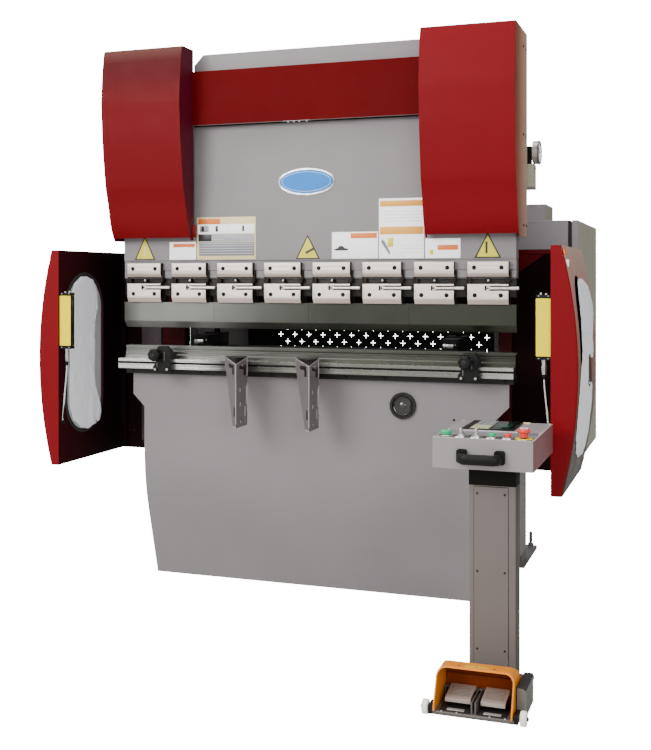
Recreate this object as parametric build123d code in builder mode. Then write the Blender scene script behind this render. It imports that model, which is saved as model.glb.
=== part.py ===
from build123d import *
import os

os.makedirs("parts", exist_ok=True)

# Small hydraulic press brake, 1600 mm bending length.
# X across the machine, Y from the operator towards the rear, Z up.
# X = 0 is the machine's centre, Z = 0 the floor, Y = 0 the clamp front plane.

# ---- driving dimensions (mm) ----
BEND = 1600.0          # bending length
HALF = BEND / 2
FRAME_IN = 650.0       # inner face of the uprights
FRAME_T = 40.0         # upright thickness
FRAME_OUT = FRAME_IN + FRAME_T
FRAME_REAR = 950.0
FRAME_TOP = 2100.0
FRAME_BASE = 60.0
THROAT_D = 400.0
BED_TOP = 871.0
BED_Y = 42.0           # front of the apron
APRON_T = 12.0
EAR = 770.0
WAIST = 720.0
TABLE_TOP = 930.0
ANCHOR_X = 622.0
ANCHOR_Y0, ANCHOR_Y1 = 395.0, 1120.0
DIE_TOP = 985.0
RAIL_Y0, RAIL_Y1 = -32.0, 20.0
RAIL_Z0, RAIL_Z1 = 895.0, 935.0
SLOT_Z0, SLOT_Z1 = 915.0, 923.0
RAM_Y0, RAM_Y1 = 20.0, 70.0
RAM_SPLIT = 1327.0     # joint between ram plate and clamp bar
RAM_BOTTOM = 1256.0
RAM_SHOULDER = 1450.0
RAM_TOP = 2146.0
RAM_NARROW = 485.0
PITCH = 200.0          # clamp pitch
CLAMP_W = 150.0
TIP_Z = 1058.0
TIP_Y = 45.0
LEVER_Z = 1220.0
LEVER_Y = 9.0
CYL_X, CYL_Y, CYL_R = 660.0, 45.0, 95.0
ROD_R = 45.0
COVER_IN, COVER_OUT, COVER_T = 475.0, 819.0, 3.0
GUARD_Z0, GUARD_Z1 = 523.0, 1367.0
GUARD_IN = 955.0
GUARD_BULGE = 1048.0
GUARD_Y0, GUARD_Y1 = -222.0, 357.0
HINGE_X, HINGE_Y, HINGE_R = 990.0, 375.0, 8.0
CAB_Z0, CAB_Z1 = 535.0, 1484.0
CAB_Y0, CAB_Y1 = 430.0, 1170.0
BOX_X0, BOX_X1 = 665.0, 970.0
BOX_Y0, BOX_Y1 = -700.0, -280.0
BOX_Z0, BOX_Z1 = 682.0, 775.0
BUTTON_Y = -662.0
BUTTON_X = (699.0, 746.0, 793.0, 840.0, 888.0, 936.0)
CLAMPS = [(k - 4.5) * PITCH for k in range(1, 9)]


def block(x0, x1, y0, y1, z0, z1, mode=Mode.ADD):
    with Locations(((x0 + x1) / 2, (y0 + y1) / 2, (z0 + z1) / 2)):
        Box(x1 - x0, y1 - y0, z1 - z0, mode=mode)


def bar_x(x0, x1, y, z, r, mode=Mode.ADD):
    with Locations(((x0 + x1) / 2, y, z)):
        Cylinder(r, x1 - x0, rotation=(0, 90, 0), mode=mode)


def bar_y(y0, y1, x, z, r, mode=Mode.ADD):
    with Locations((x, (y0 + y1) / 2, z)):
        Cylinder(r, y1 - y0, rotation=(90, 0, 0), mode=mode)


def bar_z(z0, z1, x, y, r, mode=Mode.ADD):
    with Locations((x, y, (z0 + z1) / 2)):
        Cylinder(r, z1 - z0, mode=mode)


# ---- standing frame ----
with BuildPart() as side_frames:
    for x0 in (-FRAME_OUT, FRAME_IN):
        with BuildSketch(Plane.YZ.offset(x0)):
            with BuildLine():
                Polyline((62, BED_TOP), (62, 560), (170, FRAME_BASE), (FRAME_REAR, FRAME_BASE),
                         (FRAME_REAR, FRAME_TOP), (152, FRAME_TOP), (152, 1440), (62, 1440), close=True)
            make_face()
            with Locations((THROAT_D / 2, (BED_TOP + 1440) / 2)):
                RectangleRounded(THROAT_D, 1440 - BED_TOP, 60, mode=Mode.SUBTRACT)
            with Locations((FRAME_REAR / 2 + 170, 480)):
                Circle(90, mode=Mode.SUBTRACT)
        extrude(amount=FRAME_T)
side_frames.part.label = "side_frames"
export_step(side_frames.part, "parts/side_frames.step")

with BuildPart() as cross_beams:
    block(-FRAME_IN, FRAME_IN, 890, 920, 260, 460)
    block(-FRAME_IN, FRAME_IN, 890, 920, 1920, 2080)
    block(-FRAME_IN, FRAME_IN, 230, 260, 1920, 2080)
cross_beams.part.label = "cross_beams"
export_step(cross_beams.part, "parts/cross_beams.step")

with BuildPart() as oil_tank:
    block(-560, 560, 420, 820, 1540, 1900)
    fillet(oil_tank.edges().filter_by(Axis.Z), 25)
    block(-555, 555, 425, 815, 1545, 1895, Mode.SUBTRACT)
    bar_z(1900, 1930, -380, 620, 35)
    bar_z(1894, 1925, -380, 620, 28, Mode.SUBTRACT)
    bar_z(1900, 2090, 250, 620, 80)
    for xa, xb in ((-FRAME_IN, -560), (560, FRAME_IN)):
        block(xa, xb, 560, 600, 1700, 1720)
oil_tank.part.label = "oil_tank"
export_step(oil_tank.part, "parts/oil_tank.step")

# Each pad carries an anchor hole and a levelling bolt; the rear pads run out past the uprights.
with BuildPart() as frame_feet:
    for s in (-1, 1):
        for y0, y1, ya, yb in ((295, 440, ANCHOR_Y0, 325), (830, 1205, ANCHOR_Y1, 1170)):
            xa, xb = sorted((s * 596, s * 700))
            block(xa, xb, y0, y1, 0, 16)
            xa, xb = sorted((s * FRAME_IN, s * FRAME_OUT))
            block(xa, xb, y0, min(y1, FRAME_REAR), 16, FRAME_BASE)
            bar_z(-1, 17, s * ANCHOR_X, ya, 9, Mode.SUBTRACT)
            xl = s * (ANCHOR_X if y0 < 500 else 676)
            bar_z(16.0, 84, xl, yb, 8)
            with BuildSketch(Plane.XY.offset(16)):
                with Locations((xl, yb)):
                    RegularPolygon(14, 6, rotation=30)
            extrude(amount=16)
frame_feet.part.label = "frame_feet"
export_step(frame_feet.part, "parts/frame_feet.step")

# ---- bed ----
# The apron is vertical at the top, bends through 16 degrees and runs back to the toe space.
with BuildPart() as bed_apron:
    with BuildSketch(Plane.YZ.offset(-EAR)):
        with BuildLine():
            up = Line((BED_Y, BED_TOP), (BED_Y, 560))
            bend = JernArc(start=(BED_Y, 560), tangent=(0, -1), radius=900, arc_size=16)
            low = Line(bend @ 1, (bend @ 1) + (bend % 1) * 290)
            side = Line(low @ 1, (low @ 1) + Vector(12, 3.44))
            back = Line(side @ 1, (side @ 1) - (bend % 1) * 290)
            inner = JernArc(start=(BED_Y + APRON_T, 560), tangent=(0, -1), radius=888, arc_size=16)
            joint = Line(back @ 1, inner @ 1)
            up2 = Line((BED_Y + APRON_T, 560), (BED_Y + APRON_T, BED_TOP))
            Line(up2 @ 1, (BED_Y, BED_TOP))
        make_face()
    extrude(amount=2 * EAR)
    for s in (-1, 1):
        with BuildSketch(Plane.XZ.offset(-400)):
            with BuildLine():
                Polyline((s * (EAR + 5), 0), (s * WAIST, 0), (s * WAIST, 735), (s * EAR, 785),
                         (s * (EAR + 5), 785), close=True)
            make_face()
        extrude(amount=500, mode=Mode.SUBTRACT)
bed_apron.part.label = "bed_apron"
export_step(bed_apron.part, "parts/bed_apron.step")

with BuildPart() as bed_beam:
    block(-FRAME_IN, FRAME_IN, 56, 120, 520, BED_TOP)
    block(-790, 790, 20, 110, BED_TOP, TABLE_TOP)
    for s in (-1, 1):
        xa, xb = sorted((s * 540, s * 580))
        block(xa, xb, 120, 900, 840, 870)
        xa, xb = sorted((s * 580, s * FRAME_IN))
        block(xa, xb, 500, 560, 840, 870)
bed_beam.part.label = "bed_beam"
export_step(bed_beam.part, "parts/bed_beam.step")

with BuildPart() as bed_port:
    bar_y(32, BED_Y, 372, 778, 50)
    bar_y(31, 38, 372, 778, 41, Mode.SUBTRACT)
    bar_y(33, 38, 372, 778, 30)
bed_port.part.label = "bed_port"
export_step(bed_port.part, "parts/bed_port.step")

with BuildPart() as die:
    with BuildSketch(Plane.YZ.offset(-HALF + 4)):
        with BuildLine():
            Polyline((24, 930), (86, 930), (86, 952), (80, 956), (80, DIE_TOP), (53, DIE_TOP),
                     (TIP_Y, 975), (37, DIE_TOP), (28, DIE_TOP), (28, 974), (32, 971), (32, 966),
                     (28, 963), (28, 951), (24, 947), close=True)
        make_face()
    extrude(amount=BEND - 8)
die.part.label = "die"
export_step(die.part, "parts/die.step")

with BuildPart() as support_rail:
    block(-798, 798, RAIL_Y0, RAIL_Y1, RAIL_Z0, RAIL_Z1)
    block(-799, 799, RAIL_Y0 - 1, RAIL_Y0 + 16, SLOT_Z0, SLOT_Z1, Mode.SUBTRACT)
    block(-799, 799, RAIL_Y0 - 1, RAIL_Y0 + 2, 903.5, 905.5, Mode.SUBTRACT)
support_rail.part.label = "support_rail"
export_step(support_rail.part, "parts/support_rail.step")

# ---- hydraulics and covers ----
with BuildPart() as cylinders:
    for s in (-1, 1):
        bar_z(1500, 2080, s * CYL_X, CYL_Y, CYL_R)
        xa, xb = sorted((s * 590, s * 730))
        block(xa, xb, 60, 152, 1900, 2060)
        bar_z(1499, 1990, s * CYL_X, CYL_Y, ROD_R + 0.6, Mode.SUBTRACT)
cylinders.part.label = "cylinders"
export_step(cylinders.part, "parts/cylinders.step")

COVER_FRONT = [(-24, 1406), (-45, 1437), (-67, 1504), (-84, 1574), (-95, 1610), (-102, 1649),
               (-125, 1848), (-128, 1902), (-131, 1947), (-128, 1993), (-122, 2064), (-108, 2155)]
COVER_INSIDE = [(-21, 1390), (-42, 1440), (-63.6, 1506), (-80.6, 1575), (-91.6, 1611), (-98.8, 1650),
                (-121.8, 1848), (-124.8, 1902), (-127.8, 1947), (-124.8, 1993), (-118.8, 2064), (-106, 2145)]

with BuildPart() as cylinder_cover_right:
    with BuildSketch(Plane.YZ.offset(COVER_IN)):
        with BuildLine():
            Spline(*COVER_FRONT)
            Polyline((-108, 2155), (-98, 2161), (150, 2161), (150, 1406), (-24, 1406))
        make_face()
    extrude(amount=COVER_OUT - COVER_IN)
    with BuildSketch(Plane.YZ.offset(COVER_IN + COVER_T)):
        with BuildLine():
            Spline(*COVER_INSIDE)
            Polyline((-106, 2145), (-100, 2157), (200, 2157), (200, 1390), (-21, 1390))
        make_face()
    extrude(amount=COVER_OUT - COVER_IN - 2 * COVER_T, mode=Mode.SUBTRACT)
    block(COVER_IN - 1, 610, -8, 160, 1400, 2170, Mode.SUBTRACT)
cylinder_cover_right.part.label = "cylinder_cover_right"
export_step(cylinder_cover_right.part, "parts/cylinder_cover_right.step")

with BuildPart() as cylinder_cover_left:
    with BuildSketch(Plane.YZ.offset(-COVER_OUT)):
        with BuildLine():
            Spline(*COVER_FRONT)
            Polyline((-108, 2155), (-98, 2161), (150, 2161), (150, 1406), (-24, 1406))
        make_face()
    extrude(amount=COVER_OUT - COVER_IN)
    with BuildSketch(Plane.YZ.offset(-COVER_OUT + COVER_T)):
        with BuildLine():
            Spline(*COVER_INSIDE)
            Polyline((-106, 2145), (-100, 2157), (200, 2157), (200, 1390), (-21, 1390))
        make_face()
    extrude(amount=COVER_OUT - COVER_IN - 2 * COVER_T, mode=Mode.SUBTRACT)
    block(-610, -COVER_IN + 1, -8, 160, 1400, 2170, Mode.SUBTRACT)
cylinder_cover_left.part.label = "cylinder_cover_left"
export_step(cylinder_cover_left.part, "parts/cylinder_cover_left.step")

with BuildPart() as cross_cover:
    block(-COVER_IN, COVER_IN, -20, 12, 1861, 2073)
    block(-COVER_IN - 1, COVER_IN + 1, -17, 13, 1864, 2070, Mode.SUBTRACT)
cross_cover.part.label = "cross_cover"
export_step(cross_cover.part, "parts/cross_cover.step")

# ---- ram and tooling ----
with BuildPart() as ram_plate:
    with BuildSketch(Plane.XZ.offset(-RAM_Y1)):
        with BuildLine():
            Polyline((-HALF, RAM_SPLIT), (HALF, RAM_SPLIT), (HALF, RAM_SHOULDER), (RAM_NARROW, RAM_SHOULDER),
                     (RAM_NARROW, RAM_TOP - 40), (RAM_NARROW - 40, RAM_TOP), (-RAM_NARROW + 40, RAM_TOP),
                     (-RAM_NARROW, RAM_TOP - 40), (-RAM_NARROW, RAM_SHOULDER), (-HALF, RAM_SHOULDER), close=True)
        make_face()
    extrude(amount=RAM_Y1 - RAM_Y0)
ram_plate.part.label = "ram_plate"
export_step(ram_plate.part, "parts/ram_plate.step")

with BuildPart() as clamp_bar:
    block(-HALF, HALF, 24, 66, RAM_BOTTOM, RAM_SPLIT)
    block(-HALF - 1, HALF + 1, 22, 27, 1286, 1288.5, Mode.SUBTRACT)
clamp_bar.part.label = "clamp_bar"
export_step(clamp_bar.part, "parts/clamp_bar.step")

with BuildPart() as piston_rods:
    for s in (-1, 1):
        bar_z(RAM_SHOULDER, 1900, s * CYL_X, CYL_Y, ROD_R)
piston_rods.part.label = "piston_rods"
export_step(piston_rods.part, "parts/piston_rods.step")

with BuildPart() as clamp_bodies:
    for x in CLAMPS:
        block(x - 75, x + 75, 52, 74, 1161, RAM_BOTTOM)
        block(x - 75, x + 75, 30, 52, 1186, RAM_BOTTOM)
        bar_y(12, 30, x, 1248, 7)
        bar_y(11, 20, x, 1248, 3.5, Mode.SUBTRACT)
        block(x - 75, x - 64, 14, 30, 1238, 1256)
        block(x + 64, x + 75, 14, 30, 1238, 1256)
clamp_bodies.part.label = "clamp_bodies"
export_step(clamp_bodies.part, "parts/clamp_bodies.step")

# The lower plate has a slot, open at the front and at one end, that the release lever lies in.
with BuildPart() as clamp_plates:
    for x in CLAMPS:
        with BuildSketch(Plane.YZ.offset(x - 75)):
            with BuildLine():
                Polyline((0, 1275), (0, 1316), (1.6, 1317.6), (24, 1317.6), (24, 1262), (10, 1262), close=True)
            make_face()
        extrude(amount=CLAMP_W)
        for dx in (-50, 50):
            bar_y(-1, 25, x + dx, 1295, 8, Mode.SUBTRACT)
    for x in CLAMPS:
        with BuildSketch(Plane.YZ.offset(x - 75)):
            with BuildLine():
                Polyline((0, 1179), (0, 1234), (1.5, 1235.5), (30, 1235.5), (30, 1161), (9, 1161), close=True)
            make_face()
        extrude(amount=CLAMP_W)
        for dx in (-47.5, 47.5):
            bar_y(-1, 31, x + dx, 1194, 8, Mode.SUBTRACT)
        block(x - 11, x + 80, -1, 19, 1211, 1229, Mode.SUBTRACT)
clamp_plates.part.label = "clamp_plates"
export_step(clamp_plates.part, "parts/clamp_plates.step")

with BuildPart() as clamp_screws:
    for x in CLAMPS:
        for dx, z, ye in ((-50, 1295, 24), (50, 1295, 24), (-47.5, 1194, 30), (47.5, 1194, 30)):
            bar_y(5, ye, x + dx, z, 8)
            with BuildSketch(Plane.XZ.offset(-5)):
                with Locations((x + dx, z)):
                    RegularPolygon(4.2, 6)
            extrude(amount=-6, mode=Mode.SUBTRACT)
        bar_z(1211, 1229, x, LEVER_Y, 2.5)
clamp_screws.part.label = "clamp_screws"
export_step(clamp_screws.part, "parts/clamp_screws.step")

# Sectioned punch: shoulders under the clamps, long front face, tip on the die's centre line.
with BuildPart() as punch:
    for xa, xb in ((-800, -400.5), (-400, -0.5), (0, 399.5), (400, 800)):
        with BuildSketch(Plane.YZ.offset(xa)):
            with BuildLine():
                Polyline((22, 1161), (52, 1161), (52, 1110), (62, 1096), (62, 1088), (TIP_Y + 0.8, TIP_Z),
                         (TIP_Y - 0.8, TIP_Z), (24, 1082), (22, 1086), close=True)
            make_face()
        extrude(amount=xb - xa)
    for x in CLAMPS:
        block(x - 70, x + 70, 30, 52, 1161, 1186)
punch.part.label = "punch"
export_step(punch.part, "parts/punch.step")

# ---- clamp release levers ----
for n, x in enumerate(CLAMPS, start=1):
    with BuildPart() as clamp_lever:
        bar_z(1212, 1228, x, LEVER_Y, 7.5)
        bar_x(x, x + 112, LEVER_Y, LEVER_Z, 6)
        fillet(clamp_lever.edges().filter_by(GeomType.CIRCLE).sort_by(Axis.X)[-1], 2)
        bar_z(1211, 1229, x, LEVER_Y, 2.9, Mode.SUBTRACT)
    clamp_lever.part.label = f"clamp_lever_{n}"
    export_step(clamp_lever.part, f"parts/clamp_lever_{n}.step")

# ---- side guards ----
# Box section: flat inner panel, front flange and an outer skin bulged at mid height.
for s, side in ((-1, "left"), (1, "right")):
    with BuildPart() as guard:
        with BuildSketch(Plane.XZ.offset(-GUARD_Y1)):
            with BuildLine():
                a = Polyline((s * 993, GUARD_Z0), (s * GUARD_IN, GUARD_Z0), (s * GUARD_IN, GUARD_Z1), (s * 993, GUARD_Z1))
                ThreePointArc(a @ 1, (s * GUARD_BULGE, (GUARD_Z0 + GUARD_Z1) / 2), a @ 0)
            make_face()
        extrude(amount=GUARD_Y1 - GUARD_Y0)
        fillet(guard.edges().filter_by(GeomType.CIRCLE).group_by(Axis.Y)[0], 12)
        with BuildSketch(Plane.XZ.offset(-GUARD_Y1 + 3)):
            with BuildLine():
                b = Polyline((s * 990, GUARD_Z0 + 3), (s * (GUARD_IN + 3), GUARD_Z0 + 3),
                             (s * (GUARD_IN + 3), GUARD_Z1 - 3), (s * 990, GUARD_Z1 - 3))
                ThreePointArc(b @ 1, (s * (GUARD_BULGE - 3), (GUARD_Z0 + GUARD_Z1) / 2), b @ 0)
            make_face()
        extrude(amount=GUARD_Y1 - GUARD_Y0 - 17, mode=Mode.SUBTRACT)
        # window through both skins, long axis upright
        with BuildSketch(Plane.YZ.offset(s * 940)):
            with Locations((-30, 955)):
                SlotOverall(622, 260, rotation=90)
        extrude(amount=s * 120, mode=Mode.SUBTRACT)
        for z in (600, 1240):
            bar_z(z, z + 36, s * HINGE_X, HINGE_Y, 18)
            xa, xb = sorted((s * (HINGE_X - 14), s * (HINGE_X + 1)))
            block(xa, xb, GUARD_Y1 - 2, HINGE_Y, z, z + 36)
            bar_z(z - 1, z + 37, s * HINGE_X, HINGE_Y, HINGE_R + 0.6, Mode.SUBTRACT)
    guard.part.label = f"guard_{side}"
    export_step(guard.part, f"parts/guard_{side}.step")

    # clear pane behind the inner panel's opening
    with BuildPart() as pane:
        with BuildSketch(Plane.YZ.offset(s * (GUARD_IN + 3))):
            with Locations((-30, 955)):
                SlotOverall(652, 290, rotation=90)
        extrude(amount=s * 5)
    pane.part.label = f"window_{side}"
    export_step(pane.part, f"parts/window_{side}.step")

    # light curtain bar: housing, end caps, plug and the lead clipped down the panel
    xa, xb = sorted((s * 905, s * GUARD_IN))
    xm = s * 930
    with BuildPart() as curtain:
        block(xa, xb, -215, -188, 992, 1188)
        block(xa, xb, -213, -186, 1188, 1200)
        block(xa, xb, -213, -186, 980, 992)
        bar_z(930, 980, xm, -200, 7)
        with BuildSketch(Plane(origin=(xm, -200, 932), x_dir=(0, 1, 0), z_dir=(s * 20, 0, -240))):
            Circle(2.6)
        extrude(amount=240.8)
        block(min(s * 944, s * GUARD_IN), max(s * 944, s * GUARD_IN), -206, -194, 684, 698)
    curtain.part.label = f"light_curtain_{side}"
    export_step(curtain.part, f"parts/light_curtain_{side}.step")

# fixed rear panels between upright and guard, with the hinge arms and pins
with BuildPart() as guard_mounts:
    for s in (-1, 1):
        xa, xb = sorted((s * FRAME_OUT, s * 949))
        block(xa, xb, 284, 288, GUARD_Z0, GUARD_Z1)
        for z in (560, 1200):
            xa, xb = sorted((s * FRAME_OUT, s * (HINGE_X + 12)))
            block(xa, xb, 366, 386, z, z + 38)
            xa, xb = sorted((s * 880, s * 900))
            block(xa, xb, 288, 366, z, z + 38)
            bar_z(z + 38, z + 78, s * HINGE_X, HINGE_Y, HINGE_R)
guard_mounts.part.label = "guard_mounts"
export_step(guard_mounts.part, "parts/guard_mounts.step")

# ---- electrical cabinet ----
with BuildPart() as electrical_cabinet:
    block(FRAME_OUT, 935, CAB_Y0, CAB_Y1, CAB_Z0, CAB_Z1)
    block(FRAME_OUT + 4, 936, CAB_Y0 + 4, CAB_Y1 - 4, CAB_Z0 + 4, CAB_Z1 - 4, Mode.SUBTRACT)
    block(FRAME_OUT, 812, 680, 911, CAB_Z1, 1567)
    bar_z(CAB_Z0 + 60, CAB_Z0 + 120, 955, CAB_Y1 + 9, 5)
    bar_z(CAB_Z1 - 120, CAB_Z1 - 60, 955, CAB_Y1 + 9, 5)
    for z in (CAB_Z0 + 50, CAB_Z0 + 120, CAB_Z1 - 130, CAB_Z1 - 60):
        block(925, 961, CAB_Y1, CAB_Y1 + 14, z, z + 10)
electrical_cabinet.part.label = "electrical_cabinet"
export_step(electrical_cabinet.part, "parts/electrical_cabinet.step")

with BuildPart() as cabinet_door:
    block(950, 973, CAB_Y0, CAB_Y1 - 4, CAB_Z0, CAB_Z1)
    block(949, 970, CAB_Y0 + 3, CAB_Y1 - 7, CAB_Z0 + 3, CAB_Z1 - 3, Mode.SUBTRACT)
    for z in (CAB_Z0 + 64, CAB_Z1 - 116):
        bar_z(z, z + 50, 955, CAB_Y1 + 9, 9)
        block(950, 962, CAB_Y1 - 7, CAB_Y1 + 4, z, z + 50)
        bar_z(z - 1, z + 51, 955, CAB_Y1 + 9, 5.5, Mode.SUBTRACT)
    bar_x(973, 985, CAB_Y0 + 40, 1010, 14)
cabinet_door.part.label = "cabinet_door"
export_step(cabinet_door.part, "parts/cabinet_door.step")

with BuildPart() as pressure_gauge:
    block(FRAME_OUT, 838, 178, 244, 1591, 1684)
    block(800, 826, 190, 226, 1684, 1752)
    bar_x(826, 834, 206, 1728, 20)
    bar_x(834, 858, 206, 1728, 44)
    bar_x(855, 859, 206, 1728, 39, Mode.SUBTRACT)
pressure_gauge.part.label = "pressure_gauge"
export_step(pressure_gauge.part, "parts/pressure_gauge.step")

# ---- rear guard and back gauge ----
with BuildPart() as rear_guard:
    with BuildSketch(Plane.XZ.offset(-950)):
        with Locations((0, 1050)):
            Rectangle(1380, 420)
        for row in range(6):
            z = 925 + 33 * row
            xs = [-480 + 71 * c + (35.5 if row % 2 else 0) for c in range(15)]
            with Locations(*[(x, z) for x in xs if x < 520]):
                Rectangle(25, 5.5, mode=Mode.SUBTRACT)
                Rectangle(5.5, 25, mode=Mode.SUBTRACT)
    extrude(amount=-4)
rear_guard.part.label = "rear_guard"
export_step(rear_guard.part, "parts/rear_guard.step")

with BuildPart() as gauge_beam:
    block(-600, 600, 430, 480, 915, 965)
    for s in (-1, 1):
        xa, xb = sorted((s * 530, s * 590))
        block(xa, xb, 410, 500, 870.5, 915)
gauge_beam.part.label = "gauge_beam"
export_step(gauge_beam.part, "parts/gauge_beam.step")

for side, x in (("left", -585.0), ("right", 492.0)):
    with BuildPart() as gauge_finger:
        block(x - 40, x + 40, 420, 490, 965.5, 1022)
        block(x - 30, x + 30, 290, 420, 972, 1016)
        block(x - 22, x + 22, 270, 290, 980, 1000)
    gauge_finger.part.label = f"gauge_finger_{side}"
    export_step(gauge_finger.part, f"parts/gauge_finger_{side}.step")

# ---- front support arms: folded sheet, open at the top, hung in the rail's slot ----
for side, x in (("left", -240.0), ("right", 53.6)):
    with BuildPart() as arm:
        with BuildSketch(Plane.XY.offset(690)):
            with BuildLine():
                Polyline((x - 84, -34), (x + 12, -150), (x + 9, -34), (x + 6, -34), (x + 8.8, -141.4),
                         (x - 80.1, -34), close=True)
            make_face()
        extrude(amount=265)
        block(x - 84, x + 9, -37, -34, 908, 955)
        # the diagonal web narrows towards the foot, and the lower front corner is cut back
        with BuildSketch(Plane.YZ.offset(x - 100)):
            with BuildLine():
                Polyline((-30, 905), (-37, 905), (-112, 705), (-112, 680), (-30, 680), close=True)
            make_face()
        extrude(amount=92, mode=Mode.SUBTRACT)
        with BuildSketch(Plane.YZ.offset(x - 100)):
            with BuildLine():
                Polyline((-160, 685), (-160, 702), (-152, 702), (-142, 689), (-142, 685), close=True)
            make_face()
        extrude(amount=130, mode=Mode.SUBTRACT)
        # slots in the straight web
        with BuildSketch(Plane.YZ.offset(x - 10)):
            with Locations((-92, 838), (-92, 785), (-92, 718)):
                SlotOverall(22, 5, rotation=90)
            with Locations((-45, 800), (-52, 735)):
                SlotOverall(70, 6, rotation=90)
            with Locations((-80, 915)):
                SlotOverall(36, 14, rotation=0)
        extrude(amount=30, mode=Mode.SUBTRACT)
        with BuildSketch(Plane.XZ.offset(60)):
            with Locations((x - 40, 920)):
                SlotOverall(26, 12, rotation=0)
        extrude(amount=80, mode=Mode.SUBTRACT)
        block(x - 62, x - 10, -36, -20, SLOT_Z0 + 1, SLOT_Z1 - 1)
    arm.part.label = f"support_arm_{side}"
    export_step(arm.part, f"parts/support_arm_{side}.step")

# ---- rail stops with their clamp knobs ----
for side, x, k in (("left", -590.0, -19.0), ("right", 640.0, -6.0)):
    with BuildPart() as stop:
        with BuildSketch(Plane.XZ.offset(33)):
            with BuildLine():
                Polyline((x - 38, 884), (x - 38, 906), (x - 26, 922), (x - 30, 962), (x - 16, 985), (x + 24, 985),
                         (x + 42, 966), (x + 35, 930), (x + 42, 912), (x + 42, 884), close=True)
            make_face()
        extrude(amount=27)
        chamfer(stop.faces().sort_by(Axis.Y)[0].edges(), 3)
        block(x - 28, x + 34, -40, 8, 936, 962)
        block(x - 30, x + 34, -34, -20, SLOT_Z0 + 1, SLOT_Z1 - 1)
        bar_y(-68, -60, x + k, 954, 15)
        with BuildSketch(Plane.XZ.offset(68)):
            with Locations((x + k, 954)):
                RegularPolygon(25, 7, rotation=14)
        extrude(amount=30)
        chamfer(stop.faces().sort_by(Axis.Y)[0].edges(), 6)
        for dx in (-24, 28):
            bar_y(-66, -60, x + dx, 897, 7)
    stop.part.label = f"rail_stop_{side}"
    export_step(stop.part, f"parts/rail_stop_{side}.step")

# ---- pedestal and control box ----
with BuildPart() as pedestal:
    block(757, 902, -600, -530, 10, BOX_Z0)
    fillet(pedestal.edges().filter_by(Axis.Z), 5)
    block(761, 898, -596, -534, 14, BOX_Z0 - 4, Mode.SUBTRACT)
    block(773, 878, -602, -600, 20, 614)
    block(720, 940, -640, -480, 0, 10)
pedestal.part.label = "pedestal"
export_step(pedestal.part, "parts/pedestal.step")

with BuildPart() as control_box:
    block(BOX_X0, BOX_X1, BOX_Y0, BOX_Y1, BOX_Z0, BOX_Z1)
    fillet(control_box.edges().filter_by(Axis.Z), 3)
    block(BOX_X0 + 3, BOX_X1 - 3, BOX_Y0 + 3, BOX_Y1 - 3, BOX_Z0 + 3, BOX_Z1 - 4, Mode.SUBTRACT)
    for x in BUTTON_X:
        bar_z(BOX_Z1 - 5, BOX_Z1 + 1, x, BUTTON_Y, 7, Mode.SUBTRACT)
control_box.part.label = "control_box"
export_step(control_box.part, "parts/control_box.step")

# Bow handle with an oval grip between two flanged ends.
HANDLE_X0, HANDLE_X1 = 757.0, 871.0
with BuildPart() as box_handle:
    with BuildLine():
        FilletPolyline((HANDLE_X0, -704, 718), (HANDLE_X0, -742, 718), (HANDLE_X1, -742, 718),
                       (HANDLE_X1, -704, 718), radius=20)
    with BuildSketch(Plane(origin=(HANDLE_X0, -704, 718), x_dir=(1, 0, 0), z_dir=(0, -1, 0))):
        Ellipse(10, 16)
    sweep()
    for x in (HANDLE_X0, HANDLE_X1):
        with BuildSketch(Plane.XZ.offset(700)):
            with Locations((x, 722)):
                RectangleRounded(32, 42, 8)
        extrude(amount=11)
        bar_y(-712, -706, x, 737, 4.0, Mode.SUBTRACT)
box_handle.part.label = "box_handle"
export_step(box_handle.part, "parts/box_handle.step")

# ---- controls on the box: caps above the panel, stems through it ----
for label, x, r, h in (("button_start", BUTTON_X[0], 17, 11), ("button_up", BUTTON_X[3], 11, 10),
                       ("button_off", BUTTON_X[4], 11, 10)):
    with BuildPart() as button:
        bar_z(BOX_Z1 + 5, BOX_Z1 + 5 + h, x, BUTTON_Y, r)
        fillet(button.edges().group_by(Axis.Z)[-1], 3)
        bar_z(BOX_Z1 - 12, BOX_Z1 + 5, x, BUTTON_Y, 6.2)
    button.part.label = label
    export_step(button.part, f"parts/{label}.step")

for label, x in (("selector_mode", BUTTON_X[1]), ("selector_tool", BUTTON_X[2])):
    with BuildPart() as selector:
        bar_z(BOX_Z1 + 1, BOX_Z1 + 9, x, BUTTON_Y, 12)
        block(x - 4, x + 4, BUTTON_Y - 12, BUTTON_Y + 12, BOX_Z1 + 8, BOX_Z1 + 22)
        bar_z(BOX_Z1 - 12, BOX_Z1 + 1, x, BUTTON_Y, 6.2)
    selector.part.label = label
    export_step(selector.part, f"parts/{label}.step")

with BuildPart() as emergency_stop:
    with BuildSketch(Plane.XZ.offset(-BUTTON_Y)):
        with BuildLine():
            Polyline((BUTTON_X[5], 763), (BUTTON_X[5] + 6.2, 763), (BUTTON_X[5] + 6.2, 781), (BUTTON_X[5] + 13, 781),
                     (BUTTON_X[5] + 13, 792), (BUTTON_X[5] + 20, 796), (BUTTON_X[5] + 20, 801),
                     (BUTTON_X[5] + 15, 806), (BUTTON_X[5], 808), close=True)
        make_face()
    revolve(axis=Axis((BUTTON_X[5], BUTTON_Y, 0), (0, 0, 1)))
emergency_stop.part.label = "emergency_stop"
export_step(emergency_stop.part, "parts/emergency_stop.step")

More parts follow.
